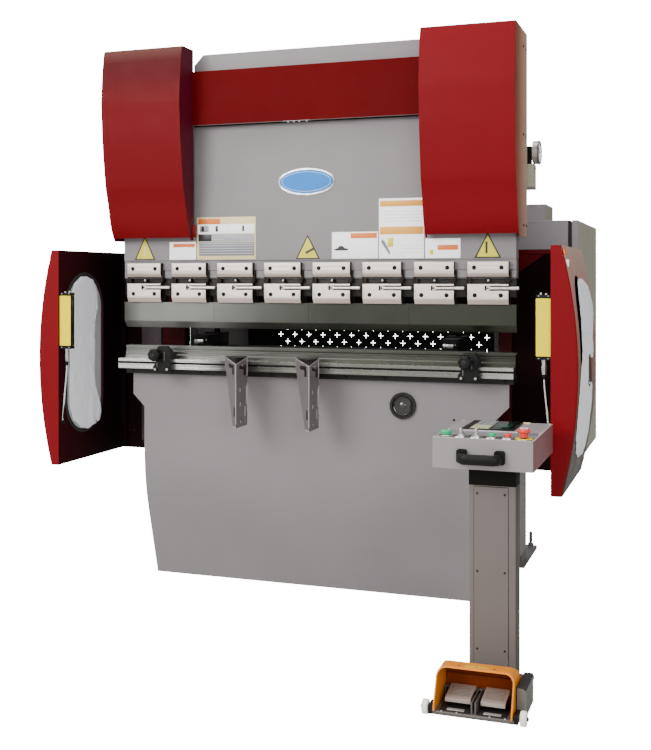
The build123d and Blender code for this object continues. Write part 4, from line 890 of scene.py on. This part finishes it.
# light strips along the panel's front and side edges: painted highlights
boxes("panel_front_edge", [(667, 968, -700.4, -697.5, Z - 0.6, Z + 0.9)], M["edge_highlight"], "frame", 0.3)
boxes("panel_side_edge", [(967.2, 970.4, -698, -284, Z - 0.6, Z + 0.7)], M["edge_highlight"], "frame", 0.3)
boxes("panel_plate", [(684, 966, -628, -530, Z, Z + 0.5)], M["panel_grey"], "frame", 0.2)
boxes("display_frame", [(713, 878, -526, -302, Z, Z + 5)], M["black"], "frame", 1.2)
boxes("display_glass", [(802, 874, -504, -314, Z + 4.4, Z + 5.6)], M["screen"], "frame", 0.4)
boxes("display_glow", [(812, 858, -470, -352, Z + 5.4, Z + 5.9)], M["screen_lit"], "frame", 0.1)
boxes("display_plate", [(739, 798, -424, -308, Z + 4.4, Z + 5.6)], M["panel"], "frame", 0.3)
boxes("display_keys_base", [(739, 800, -506, -430, Z + 4.4, Z + 5.4)], M["olive"], "frame", 0.3)
boxes("display_keys", [(742 + 14.6 * i, 753 + 14.6 * i, -503 + 18 * j, -490 + 18 * j, Z + 5.2, Z + 7.4) for i in range(4) for j in range(4)],
      M["key_pale"], "frame", 0.6)
boxes("display_keys_b", [(743 + 18 * i, 756 + 18 * i, -418 + 26 * j, -400 + 26 * j, Z + 5.4, Z + 7.0) for i in range(3) for j in range(4)],
      M["label_grey"], "frame", 0.5)
boxes("display_lip", [(715, 896, -538, -527, Z, Z + 3.2)], M["edge_highlight"], "frame", 0.6)
boxes("display_tab", [(872, 900, -312, -300, Z, Z + 4)], M["label_cream"], "frame", 0.5)
screws("panel_screws", [(x, y, Z) for x in (676, 962) for y in (-520, -296)], 3.4, 2.2, M["steel"], "frame", "Z", 1)
for i, (x, r) in enumerate(((699, 22.5), (746, 16), (793, 16), (840, 16), (888, 16), (936, 15))):
    ringm = M["steel"] if i < 5 else M["label_amber"]
    if i < 5:
        h = (18.2, 12.8, 12.8, 12.2, 12.2)[i]
        lathe(f"bezel_{i}", [(h, 0), (r, 0), (r, 2.2), (r - 1.0, 3.0), (h, 3.0), (h, 0)], (x, -662, Z + 0.6), ringm, "frame", segs=36)
    if i:
        boxes(f"name_plate_{i}", [(x - 12, x - 2.2, -695, -684, Z + 0.6, Z + 2.0), (x + 2.2, x + 12, -695, -684, Z + 0.6, Z + 2.0)],
              M["white_lit"] if i < 5 else M["label_cream"], "frame", 0.3)
lathe("estop_plate", [(13.6, 0), (27, 0), (27, 1.2), (25.5, 2.0), (13.6, 2.0), (13.6, 0)], (936, -662, Z + 0.7), M["amber"], "frame", segs=48)
for i, x in enumerate((746, 793)):
    rbox(f"selector_wing_{i}", x - 3.2, x + 3.2, -675, -649, Z + 21.5, Z + 25.5, M["steel"], ("selector_mode_body", "selector_tool_body")[i], 1.2)
    rbox(f"selector_mark_{i}", x - 0.8, x + 0.8, -675, -664, Z + 25.2, Z + 26.0, M["white"], ("selector_mode_body", "selector_tool_body")[i], 0.2)
lathe("start_ring", [(0, 0), (15, 0), (15, 1.0), (13, 1.6), (0, 1.6)], (699, -662, Z + 15.6), M["green_light"], "button_start_body", segs=36)
lathe("estop_arrow_ring", [(9, 0), (12, 0), (12, 0.5), (9, 0.5), (9, 0)], (936, -662, Z + 32.2), M["white"], "emergency_stop_body", segs=36)
lathe("handle_screw_l", [(0, 0), (3.4, 0), (3.4, 1.5), (0, 1.5)], (757, -706.2, 737), M["oxide"], "frame", "Y", 20, -1)
lathe("handle_screw_r", [(0, 0), (3.4, 0), (3.4, 1.5), (0, 1.5)], (871, -706.2, 737), M["oxide"], "frame", "Y", 20, -1)

# ---------------------------------------------------------------- pedestal
# near-black sleeve round the post just under the box: painted shadow of the box
boxes("pedestal_neck_shadow", [(756.2, 902.8, -600.8, -529.2, 618, 681.6)], M["neck"], "frame", 1.0)
# near-black strip on the pedestal's +X side: painted shade
boxes("pedestal_side_shade_strip", [(902.2, 903.2, -596, -534, 16, 618)], M["ped_side_shade"], "frame", 0.3)
boxes("pedestal_seams", [(771.6, 773.0, -600.8, -600.2, 20, 616), (878.0, 879.4, -600.8, -600.2, 20, 616), (771.6, 879.4, -600.8, -600.2, 614.2, 616)], M["oxide"], "frame", 0.1)
screws("pedestal_screws", [(x, -602, z) for x in (783, 868) for z in (115, 354, 593)], 3.4, 2.0, M["oxide"], "frame")
screws("pedestal_base_bolts", [(x, y, 10) for x in (734, 926) for y in (-626, -494)], 7, 5, M["oxide"], "frame", "Z", 1)

# ---------------------------------------------------------------- foot switch
def between(z, pts):
    for (z0, y0), (z1, y1) in zip(pts, pts[1:]):
        if z <= z1:
            return y0 + (y1 - y0) * max(0.0, z - z0) / (z1 - z0)
    return pts[-1][1]


def hood_ring(half, top, r, low):
    """Inverted U of the hood, from its left foot over the rounded shoulders to its right foot."""
    pts = [(826 - half, low + (top - r - low) * k / 8.0) for k in range(8)]
    pts += [(826 - half + r - r * math.cos(math.pi / 2 * k / 9), top - r + r * math.sin(math.pi / 2 * k / 9)) for k in range(10)]
    pts += [(826 - half + r + (2 * half - 2 * r) * k / 9.0, top) for k in range(1, 9)]
    pts += [(826 + half - r + r * math.sin(math.pi / 2 * k / 9), top - r + r * math.cos(math.pi / 2 * k / 9)) for k in range(10)]
    pts += [(826 + half, low + (top - r - low) * (7 - k) / 8.0) for k in range(8)]
    return pts


def wall(bm, front, back, mats):
    """Closed wall between two equal grids of points: the first face, the second face and the rim."""
    a = [[bm.verts.new(Vector(p) / 1000.0) for p in row] for row in front]
    b = [[bm.verts.new(Vector(p) / 1000.0) for p in row] for row in back]
    def face(vs, m):
        f = bm.faces.new(vs)
        f.material_index = m
        f.smooth = True
    h, w = len(a), len(a[0])
    for i in range(h - 1):
        for j in range(w - 1):
            face((a[i][j], a[i + 1][j], a[i + 1][j + 1], a[i][j + 1]), mats[0])
            face((b[i][j], b[i][j + 1], b[i + 1][j + 1], b[i + 1][j]), mats[1])
    for i in range(h - 1):
        face((a[i][0], b[i][0], b[i + 1][0], a[i + 1][0]), mats[0])
        face((a[i][-1], a[i + 1][-1], b[i + 1][-1], b[i][-1]), mats[0])
    for j in range(w - 1):
        face((a[0][j], a[0][j + 1], b[0][j + 1], b[0][j]), mats[0])
        face((a[-1][j], b[-1][j], b[-1][j + 1], a[-1][j + 1]), mats[0])


FRONT_Y = [(20, -890), (34, -890), (135, -838.5)]
BACK_Y = [(20, -730), (84, -730), (122, -768), (135, -789)]
bm = bmesh.new()
grids = []
for half, top, r in ((114, 135, 28), (109, 130, 24)):
    ring = hood_ring(half, top, r, 20)
    grids.append([[(x, between(z, FRONT_Y) + (between(z, BACK_Y) - between(z, FRONT_Y)) * j / 10.0, z) for j in range(11)] for x, z in ring])
wall(bm, grids[0], grids[1], (0, 0))
levels = [60, 66, 72, 78, 84, 90, 96, 102, 108, 113, 118, 122, 125, 127.5, 129.5]
def half_at(z):
    return 110.0 if z <= 106 else 86 + math.sqrt(max(0.0, 24.0 ** 2 - (z - 106) ** 2))
front = [[(826 + half_at(z) * (k / 8.0 - 1.0), between(z, BACK_Y) - 6.0, z) for k in range(17)] for z in levels]
back = [[(826 + half_at(z) * (k / 8.0 - 1.0), between(z, BACK_Y) - 1.0, z) for k in range(17)] for z in levels]
# the back plate's inner face takes the darker hood colour: painted shade
wall(bm, back, front, (0, 1))
bmesh.ops.recalc_face_normals(bm, faces=bm.faces)
hm = bpy.data.meshes.new("foot_hood_shell")
bm.to_mesh(hm)
bm.free()
hm.materials.append(M["orange"])
hm.materials.append(M["hood_inside_shade"])
hood = bpy.data.objects.new("foot_hood_shell", hm)
bpy.context.scene.collection.objects.link(hood)
hb = hood.modifiers.new("edges", "BEVEL")
hb.width = 0.0013
hb.segments = 3
hb.limit_method = "ANGLE"
hb.angle_limit = math.radians(50)
hw = hood.modifiers.new("normals", "WEIGHTED_NORMAL")
hw.keep_sharp = True
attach(hood, "foot_unit")
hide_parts("foot_hood")
screws("hood_screws", [(775, -824, 134.8), (826, -824, 134.8), (878, -824, 134.8)], 2.8, 1.6, M["oxide"], "foot_unit", "Z", 1)
# brighter yellow patch on the hood's top: painted highlight
boxes("hood_top_lit_patch", [(792, 862, -831, -806, 134.6, 135.5)], M["hood_top_highlight"], "foot_unit", 0.3)
for s, xw in ((-1, 686), (1, 968)):
    xo = xw + s * 9
    lathe(f"castor_cap_{xw}", [(0, 0), (5.2, 0), (5.2, 3), (3.8, 5), (0, 5)], (xo + s * 0.35, -866, 21.5), M["black"], "foot_unit", "X", 20, s)
    lathe(f"castor_hub_{xw}", [(5.6, 0), (11, 0), (11, 0.8), (5.6, 0.8), (5.6, 0)], (xo + s * 0.05, -866, 21.5), M["castor_shade"], "castors", "X", 28, s)
    rbox(f"castor_arm_{xw}", min(xw - s * 12, xw - s * 24), max(xw - s * 12, xw - s * 24), -890, -842, 10, 36, M["black"], "foot_unit", 2.0)
screws("foot_base_screws", [(x, -881, 20) for x in (736, 780, 874, 918)], 3, 1.8, M["steel"], "foot_unit", "Z", 1)
boxes("foot_wells", [(728, 817, -880, -790, 20, 22.5), (836, 922, -880, -790, 20, 22.5)], M["oxide"], "foot_unit", 0.6)
boxes("foot_switch_blocks", [(742, 808, -828, -796, 22, 34), (846, 908, -828, -796, 22, 34)], M["black"], "foot_unit", 1.5)
boxes("foot_spring_plates", [(750, 800, -876, -862, 22.5, 25), (855, 905, -876, -862, 22.5, 25)], M["panel"], "foot_unit", 0.5)
# dark back wall inside the hood: painted shade
boxes("hood_inner_back", [(719, 933, -741, -738.6, 24, 82)], M["hood_inside_shade"], "foot_unit", 0.5)
rbox("foot_side_cap", 943.4, 971.2, -836, -702, 90, 96, M["rubber"], "foot_unit", 2.5)
lathe("foot_gland", [(0, 0), (10, 0), (10, 5), (8, 6), (8, 15), (6, 18), (0, 18)], (955, -700.5, 60), M["black"], "foot_unit", "Y", 6, 1)
for i, (xa, xb, body) in enumerate(((742, 808, "pedal_left"), (846, 908, "pedal_right"))):
    boxes(f"pedal_treads_{i}", [(xa + 4, xb - 4, y, y + 1.6, 53.4 + (y + 838) * 0.12 - 4.2, 53.9 + (y + 838) * 0.12 - 3.4) for y in range(-828, -775, 9)],
          M["pedal_dark"], body, 0.2)

# ---------------------------------------------------------------- gauge, cabinet
lathe("gauge_dial", [(0, 0), (38.6, 0), (38.6, 1.0), (0, 1.0)], (855, 206, 1728), M["white"], "frame", "X", 48, 1)
for i in range(11):
    a = math.radians(225 - 27 * i)
    r0, r1 = 29, 36
    y0, z0 = 206 + r0 * math.cos(a), 1728 + r0 * math.sin(a)
    y1, z1 = 206 + r1 * math.cos(a), 1728 + r1 * math.sin(a)
    tube(f"gauge_tick_{i}", [(856.2, y0, z0), (856.2, (y0 + y1) / 2, (z0 + z1) / 2), (856.2, y1, z1)], 0.7, M["label_black"], "frame", res=2)
tube("gauge_needle", [(856.8, 206, 1728), (856.8, 192, 1740), (856.8, 183, 1748)], 1.0, M["label_black"], "frame", res=3)
lathe("gauge_ring", [(38.5, 0), (44.6, 0), (44.6, 5), (42, 8), (39.5, 8), (38.5, 5), (38.5, 0)], (852, 206, 1728), M["chrome_dark"], "frame", "X", 56, 1)
lathe("gauge_hub", [(0, 0), (4, 0), (3.4, 2.2), (0, 2.6)], (856.6, 206, 1728), M["label_black"], "frame", "X", 20, 1)
boxes("gauge_box_lid", [(FR, 838.8, 177.2, 244.8, 1592, 1598) for FR in (700,)], M["grey_dark"], "frame", 0.6)
screws("gauge_box_screws", [(838, y, z) for y in (186, 236) for z in (1606, 1674)], 3, 1.8, M["steel"], "frame", "X", 1)
boxes("cabinet_gap", [(936, 949, 428.5, 429.6, 536, 1483)], M["oxide"], "frame", 0.3)
# light strips on the top edges of cabinet and door: painted highlights
boxes("cabinet_edge_light", [(691, 935, 429.2, 431, 1482.6, 1484.6)], M["edge_highlight"], "frame", 0.3)
boxes("door_edge_light", [(952, 973, 429.2, 431, 1482.6, 1484.6)], M["edge_highlight"], "door", 0.3)
boxes("cabinet_door_seal", [(951, 953, 436, 1158, 541, 1478)], M["rubber"], "door", 0.3)
lathe("door_lock", [(0, 0), (9, 0), (9, 2), (6, 3), (0, 3)], (985, 470, 1010), M["chrome"], "door", "X", 28, 1)
rbox("door_lock_bar", 987, 990, 468.4, 471.6, 1002, 1018, M["oxide"], "door", 0.6)
boxes("cabinet_gland_plate", [(700, 800, 500, 640, 528, 535.4)], M["oxide"], "frame", 1)
for i, x in enumerate((716, 744, 772)):
    lathe(f"cabinet_gland_{i}", [(0, 0), (11, 0), (11, 12), (8, 20), (0, 20)], (x, 560, 529), M["black"], "frame", "Z", 24, -1)

# ---------------------------------------------------------------- back of the machine
lips = []
for row in range(6):
    cz = 925 + 33 * row
    for cx in [-480 + 71 * c + (35.5 if row % 2 else 0) for c in range(15)]:
        if cx < 520:
            for s in (-1, 1):
                lo, hi = sorted((s * 0.75, s * 3.1))
                for k in (-1, 1):
                    p, q = sorted((k * 0.75, k * 13.2))
                    lips.append((cx + p, cx + q, 948.9, 949.9, cz + lo, cz + hi))
                    lips.append((cx + lo, cx + hi, 948.9, 949.9, cz + p, cz + q))
boxes("perforation_lips", lips, M["oxide"], "frame", 0)
lathe("motor_fan_cover", [(0, 0), (82, 0), (82, 26), (76, 34), (0, 34)], (250, 620, 2088), M["black"], "frame", "Z", 48, 1)
boxes("motor_fins", [(250 + 80.0 * math.cos(a) - 3, 250 + 80.0 * math.cos(a) + 3, 620 + 80.0 * math.sin(a) - 3, 620 + 80.0 * math.sin(a) + 3, 1935, 2076)
                     for a in [math.pi / 12 * i for i in range(24)]], M["motor"], "frame", 0.8)
rbox("motor_terminal_box", 205, 295, 505, 545, 1965, 2045, M["motor"], "frame", 4)
lathe("tank_cap", [(0, 0), (33, 0), (33, 16), (28, 22), (0, 22)], (-380, 620, 1929), M["black"], "frame", "Z", 40, 1)
rbox("valve_block", -120, 60, 560, 660, 1900, 1975, M["steel"], "frame", 2)
for i, x in enumerate((-90, -30, 30)):
    rbox(f"valve_coil_{i}", x - 20, x + 20, 590, 632, 1974, 2052, M["black"], "frame", 3)
    lathe(f"valve_nut_{i}", [(0, 0), (10, 0), (10, 8), (0, 8)], (x, 611, 2051), M["steel"], "frame", "Z", 6, 1)
for s in (-1, 1):
    tube(f"pipe_{s}", [(s * 60 - 30, 600, 1935), (s * 130, 600, 1935), (s * 200, 600, 1960), (s * 260, 600, 2100), (s * 330, 500, 2118), (s * 520, 320, 2118),
                       (s * 640, 180, 2116), (s * 660, 100, 2110), (s * 660, 80, 2080)], 8, M["steel"], "frame")
    lathe(f"cylinder_cap_{s}", [(0, 0), (90, 0), (90, 14), (84, 20), (0, 20)], (s * 660, 45, 2079), M["grey_dark"], "frame", "Z", 56, 1)
    screws(f"cylinder_bolts_{s}", [(s * 660 + 74 * math.cos(a), 45 + 74 * math.sin(a), 2099) for a in [math.pi / 4 * i for i in range(8)]], 8, 7, M["oxide"], "frame", "Z", 1)
boxes("rear_guard_frame", [(-690, 690, 944, 949.8, 1244, 1262), (-690, 690, 944, 949.8, 838, 856)], M["oxide"], "frame", 1)
screws("rear_guard_bolts", [(x, 954, z) for x in (-675, 0, 675) for z in (852, 1250)], 6, 4, M["steel"], "frame", "Y", 1)
for s, side in ((-1, "left"), (1, "right")):
    x = -585.0 if side == "left" else 492.0
    screws(f"finger_bolts_{side}", [(x - 24, 290, 994), (x + 24, 290, 994)], 4, 3, M["steel"], f"finger_{side}")
    rbox(f"finger_tip_{side}", x - 20, x + 20, 268.6, 272, 981, 999, M["steel"], f"finger_{side}", 0.8)
    lathe(f"finger_knob_{side}", [(0, 0), (11, 0), (13, 4), (13, 14), (10, 18), (0, 18)], (x, 455, 1022), M["black"], f"finger_{side}", "Z", 28, 1)
boxes("feet_washers", [(s * 676 - 15, s * 676 + 15, 1155, 1185, 16, 18.5) for s in (-1, 1)], M["steel"], "frame", 0.6)

# ---------------------------------------------------------------- stage
bm = bmesh.new()
for a, b in ((-30, -30), (30, -30), (30, 30), (-30, 30)):
    bm.verts.new((a, b, 0.0))
bm.faces.new(bm.verts)
me = bpy.data.meshes.new("floor")
bm.to_mesh(me); bm.free()
floor = bpy.data.objects.new("floor", me)
bpy.context.scene.collection.objects.link(floor)
fm, nt, b, co = nodes_of("floor_pale")
nt.links.new(ramp(nt, noise_tex(nt, co, 0.8, 3.0), (0.52, 0.51, 0.50), (0.56, 0.55, 0.54)), b.inputs["Base Color"])
b.inputs["Roughness"].default_value = 0.9
me.materials.append(fm)

world = bpy.context.scene.world or bpy.data.worlds.new("world")
bpy.context.scene.world = world
world.use_nodes = True
wt = world.node_tree
bg = wt.nodes.get("Background") or wt.nodes.new("ShaderNodeBackground")
bg.inputs["Color"].default_value = (1.0, 1.0, 1.0, 1.0)
bg.inputs["Strength"].default_value = 0.62
bright = wt.nodes.new("ShaderNodeBackground")
bright.inputs["Color"].default_value = (1.0, 1.0, 1.0, 1.0)
bright.inputs["Strength"].default_value = 16.0
tc = wt.nodes.new("ShaderNodeTexCoord")
dot = wt.nodes.new("ShaderNodeVectorMath")
dot.operation = "DOT_PRODUCT"
dot.inputs[1].default_value = (-0.60, -0.62, 0.50)
wt.links.new(tc.outputs["Generated"], dot.inputs[0])
mrw = wt.nodes.new("ShaderNodeMapRange")
mrw.inputs["From Min"].default_value = -0.9
mrw.inputs["From Max"].default_value = 0.9
mrw.inputs["To Min"].default_value = 0.16
mrw.inputs["To Max"].default_value = 1.25
wt.links.new(dot.outputs["Value"], mrw.inputs["Value"])
wt.links.new(mrw.outputs["Result"], bg.inputs["Strength"])
lp = wt.nodes.new("ShaderNodeLightPath")
mixw = wt.nodes.new("ShaderNodeMixShader")
wt.links.new(lp.outputs["Is Camera Ray"], mixw.inputs["Fac"])
wt.links.new(bg.outputs["Background"], mixw.inputs[1])
wt.links.new(bright.outputs["Background"], mixw.inputs[2])
out = next((n for n in wt.nodes if n.type == "OUTPUT_WORLD"), None) or wt.nodes.new("ShaderNodeOutputWorld")
wt.links.new(mixw.outputs["Shader"], out.inputs["Surface"])

# the floor reads as bright as the backdrop, with a soft contact shadow left in it
lf = nt.nodes.new("ShaderNodeLightPath")
em = nt.nodes.new("ShaderNodeEmission")
em.inputs["Color"].default_value = (1.0, 1.0, 1.0, 1.0)
em.inputs["Strength"].default_value = 16.0
add = nt.nodes.new("ShaderNodeAddShader")
mixf = nt.nodes.new("ShaderNodeMixShader")
mo = next(n for n in nt.nodes if n.type == "OUTPUT_MATERIAL")
nt.links.new(b.outputs["BSDF"], add.inputs[0])
nt.links.new(em.outputs["Emission"], add.inputs[1])
nt.links.new(lf.outputs["Is Camera Ray"], mixf.inputs["Fac"])
nt.links.new(b.outputs["BSDF"], mixf.inputs[1])
nt.links.new(add.outputs["Shader"], mixf.inputs[2])
nt.links.new(mixf.outputs["Shader"], mo.inputs["Surface"])


def area(name, loc, target, size, power, color=(1, 1, 1)):
    l = bpy.data.lights.new(name, "AREA")
    l.shape = "RECTANGLE"
    l.size, l.size_y = size
    l.energy = power
    l.color = color
    o = bpy.data.objects.new(name, l)
    bpy.context.scene.collection.objects.link(o)
    d = Vector(target) - Vector(loc)
    o.location = loc
    o.rotation_euler = d.to_track_quat("-Z", "Y").to_euler()
    return o


area("key", (-2.2, -4.6, 3.2), (0, 0, 1.1), (2.2, 2.2), 190)
area("fill", (3.2, -4.2, 2.0), (0.3, 0, 0.9), (2.0, 2.0), 60)
area("top", (0, -0.6, 4.6), (0, 0.1, 0.8), (3.0, 2.0), 70)
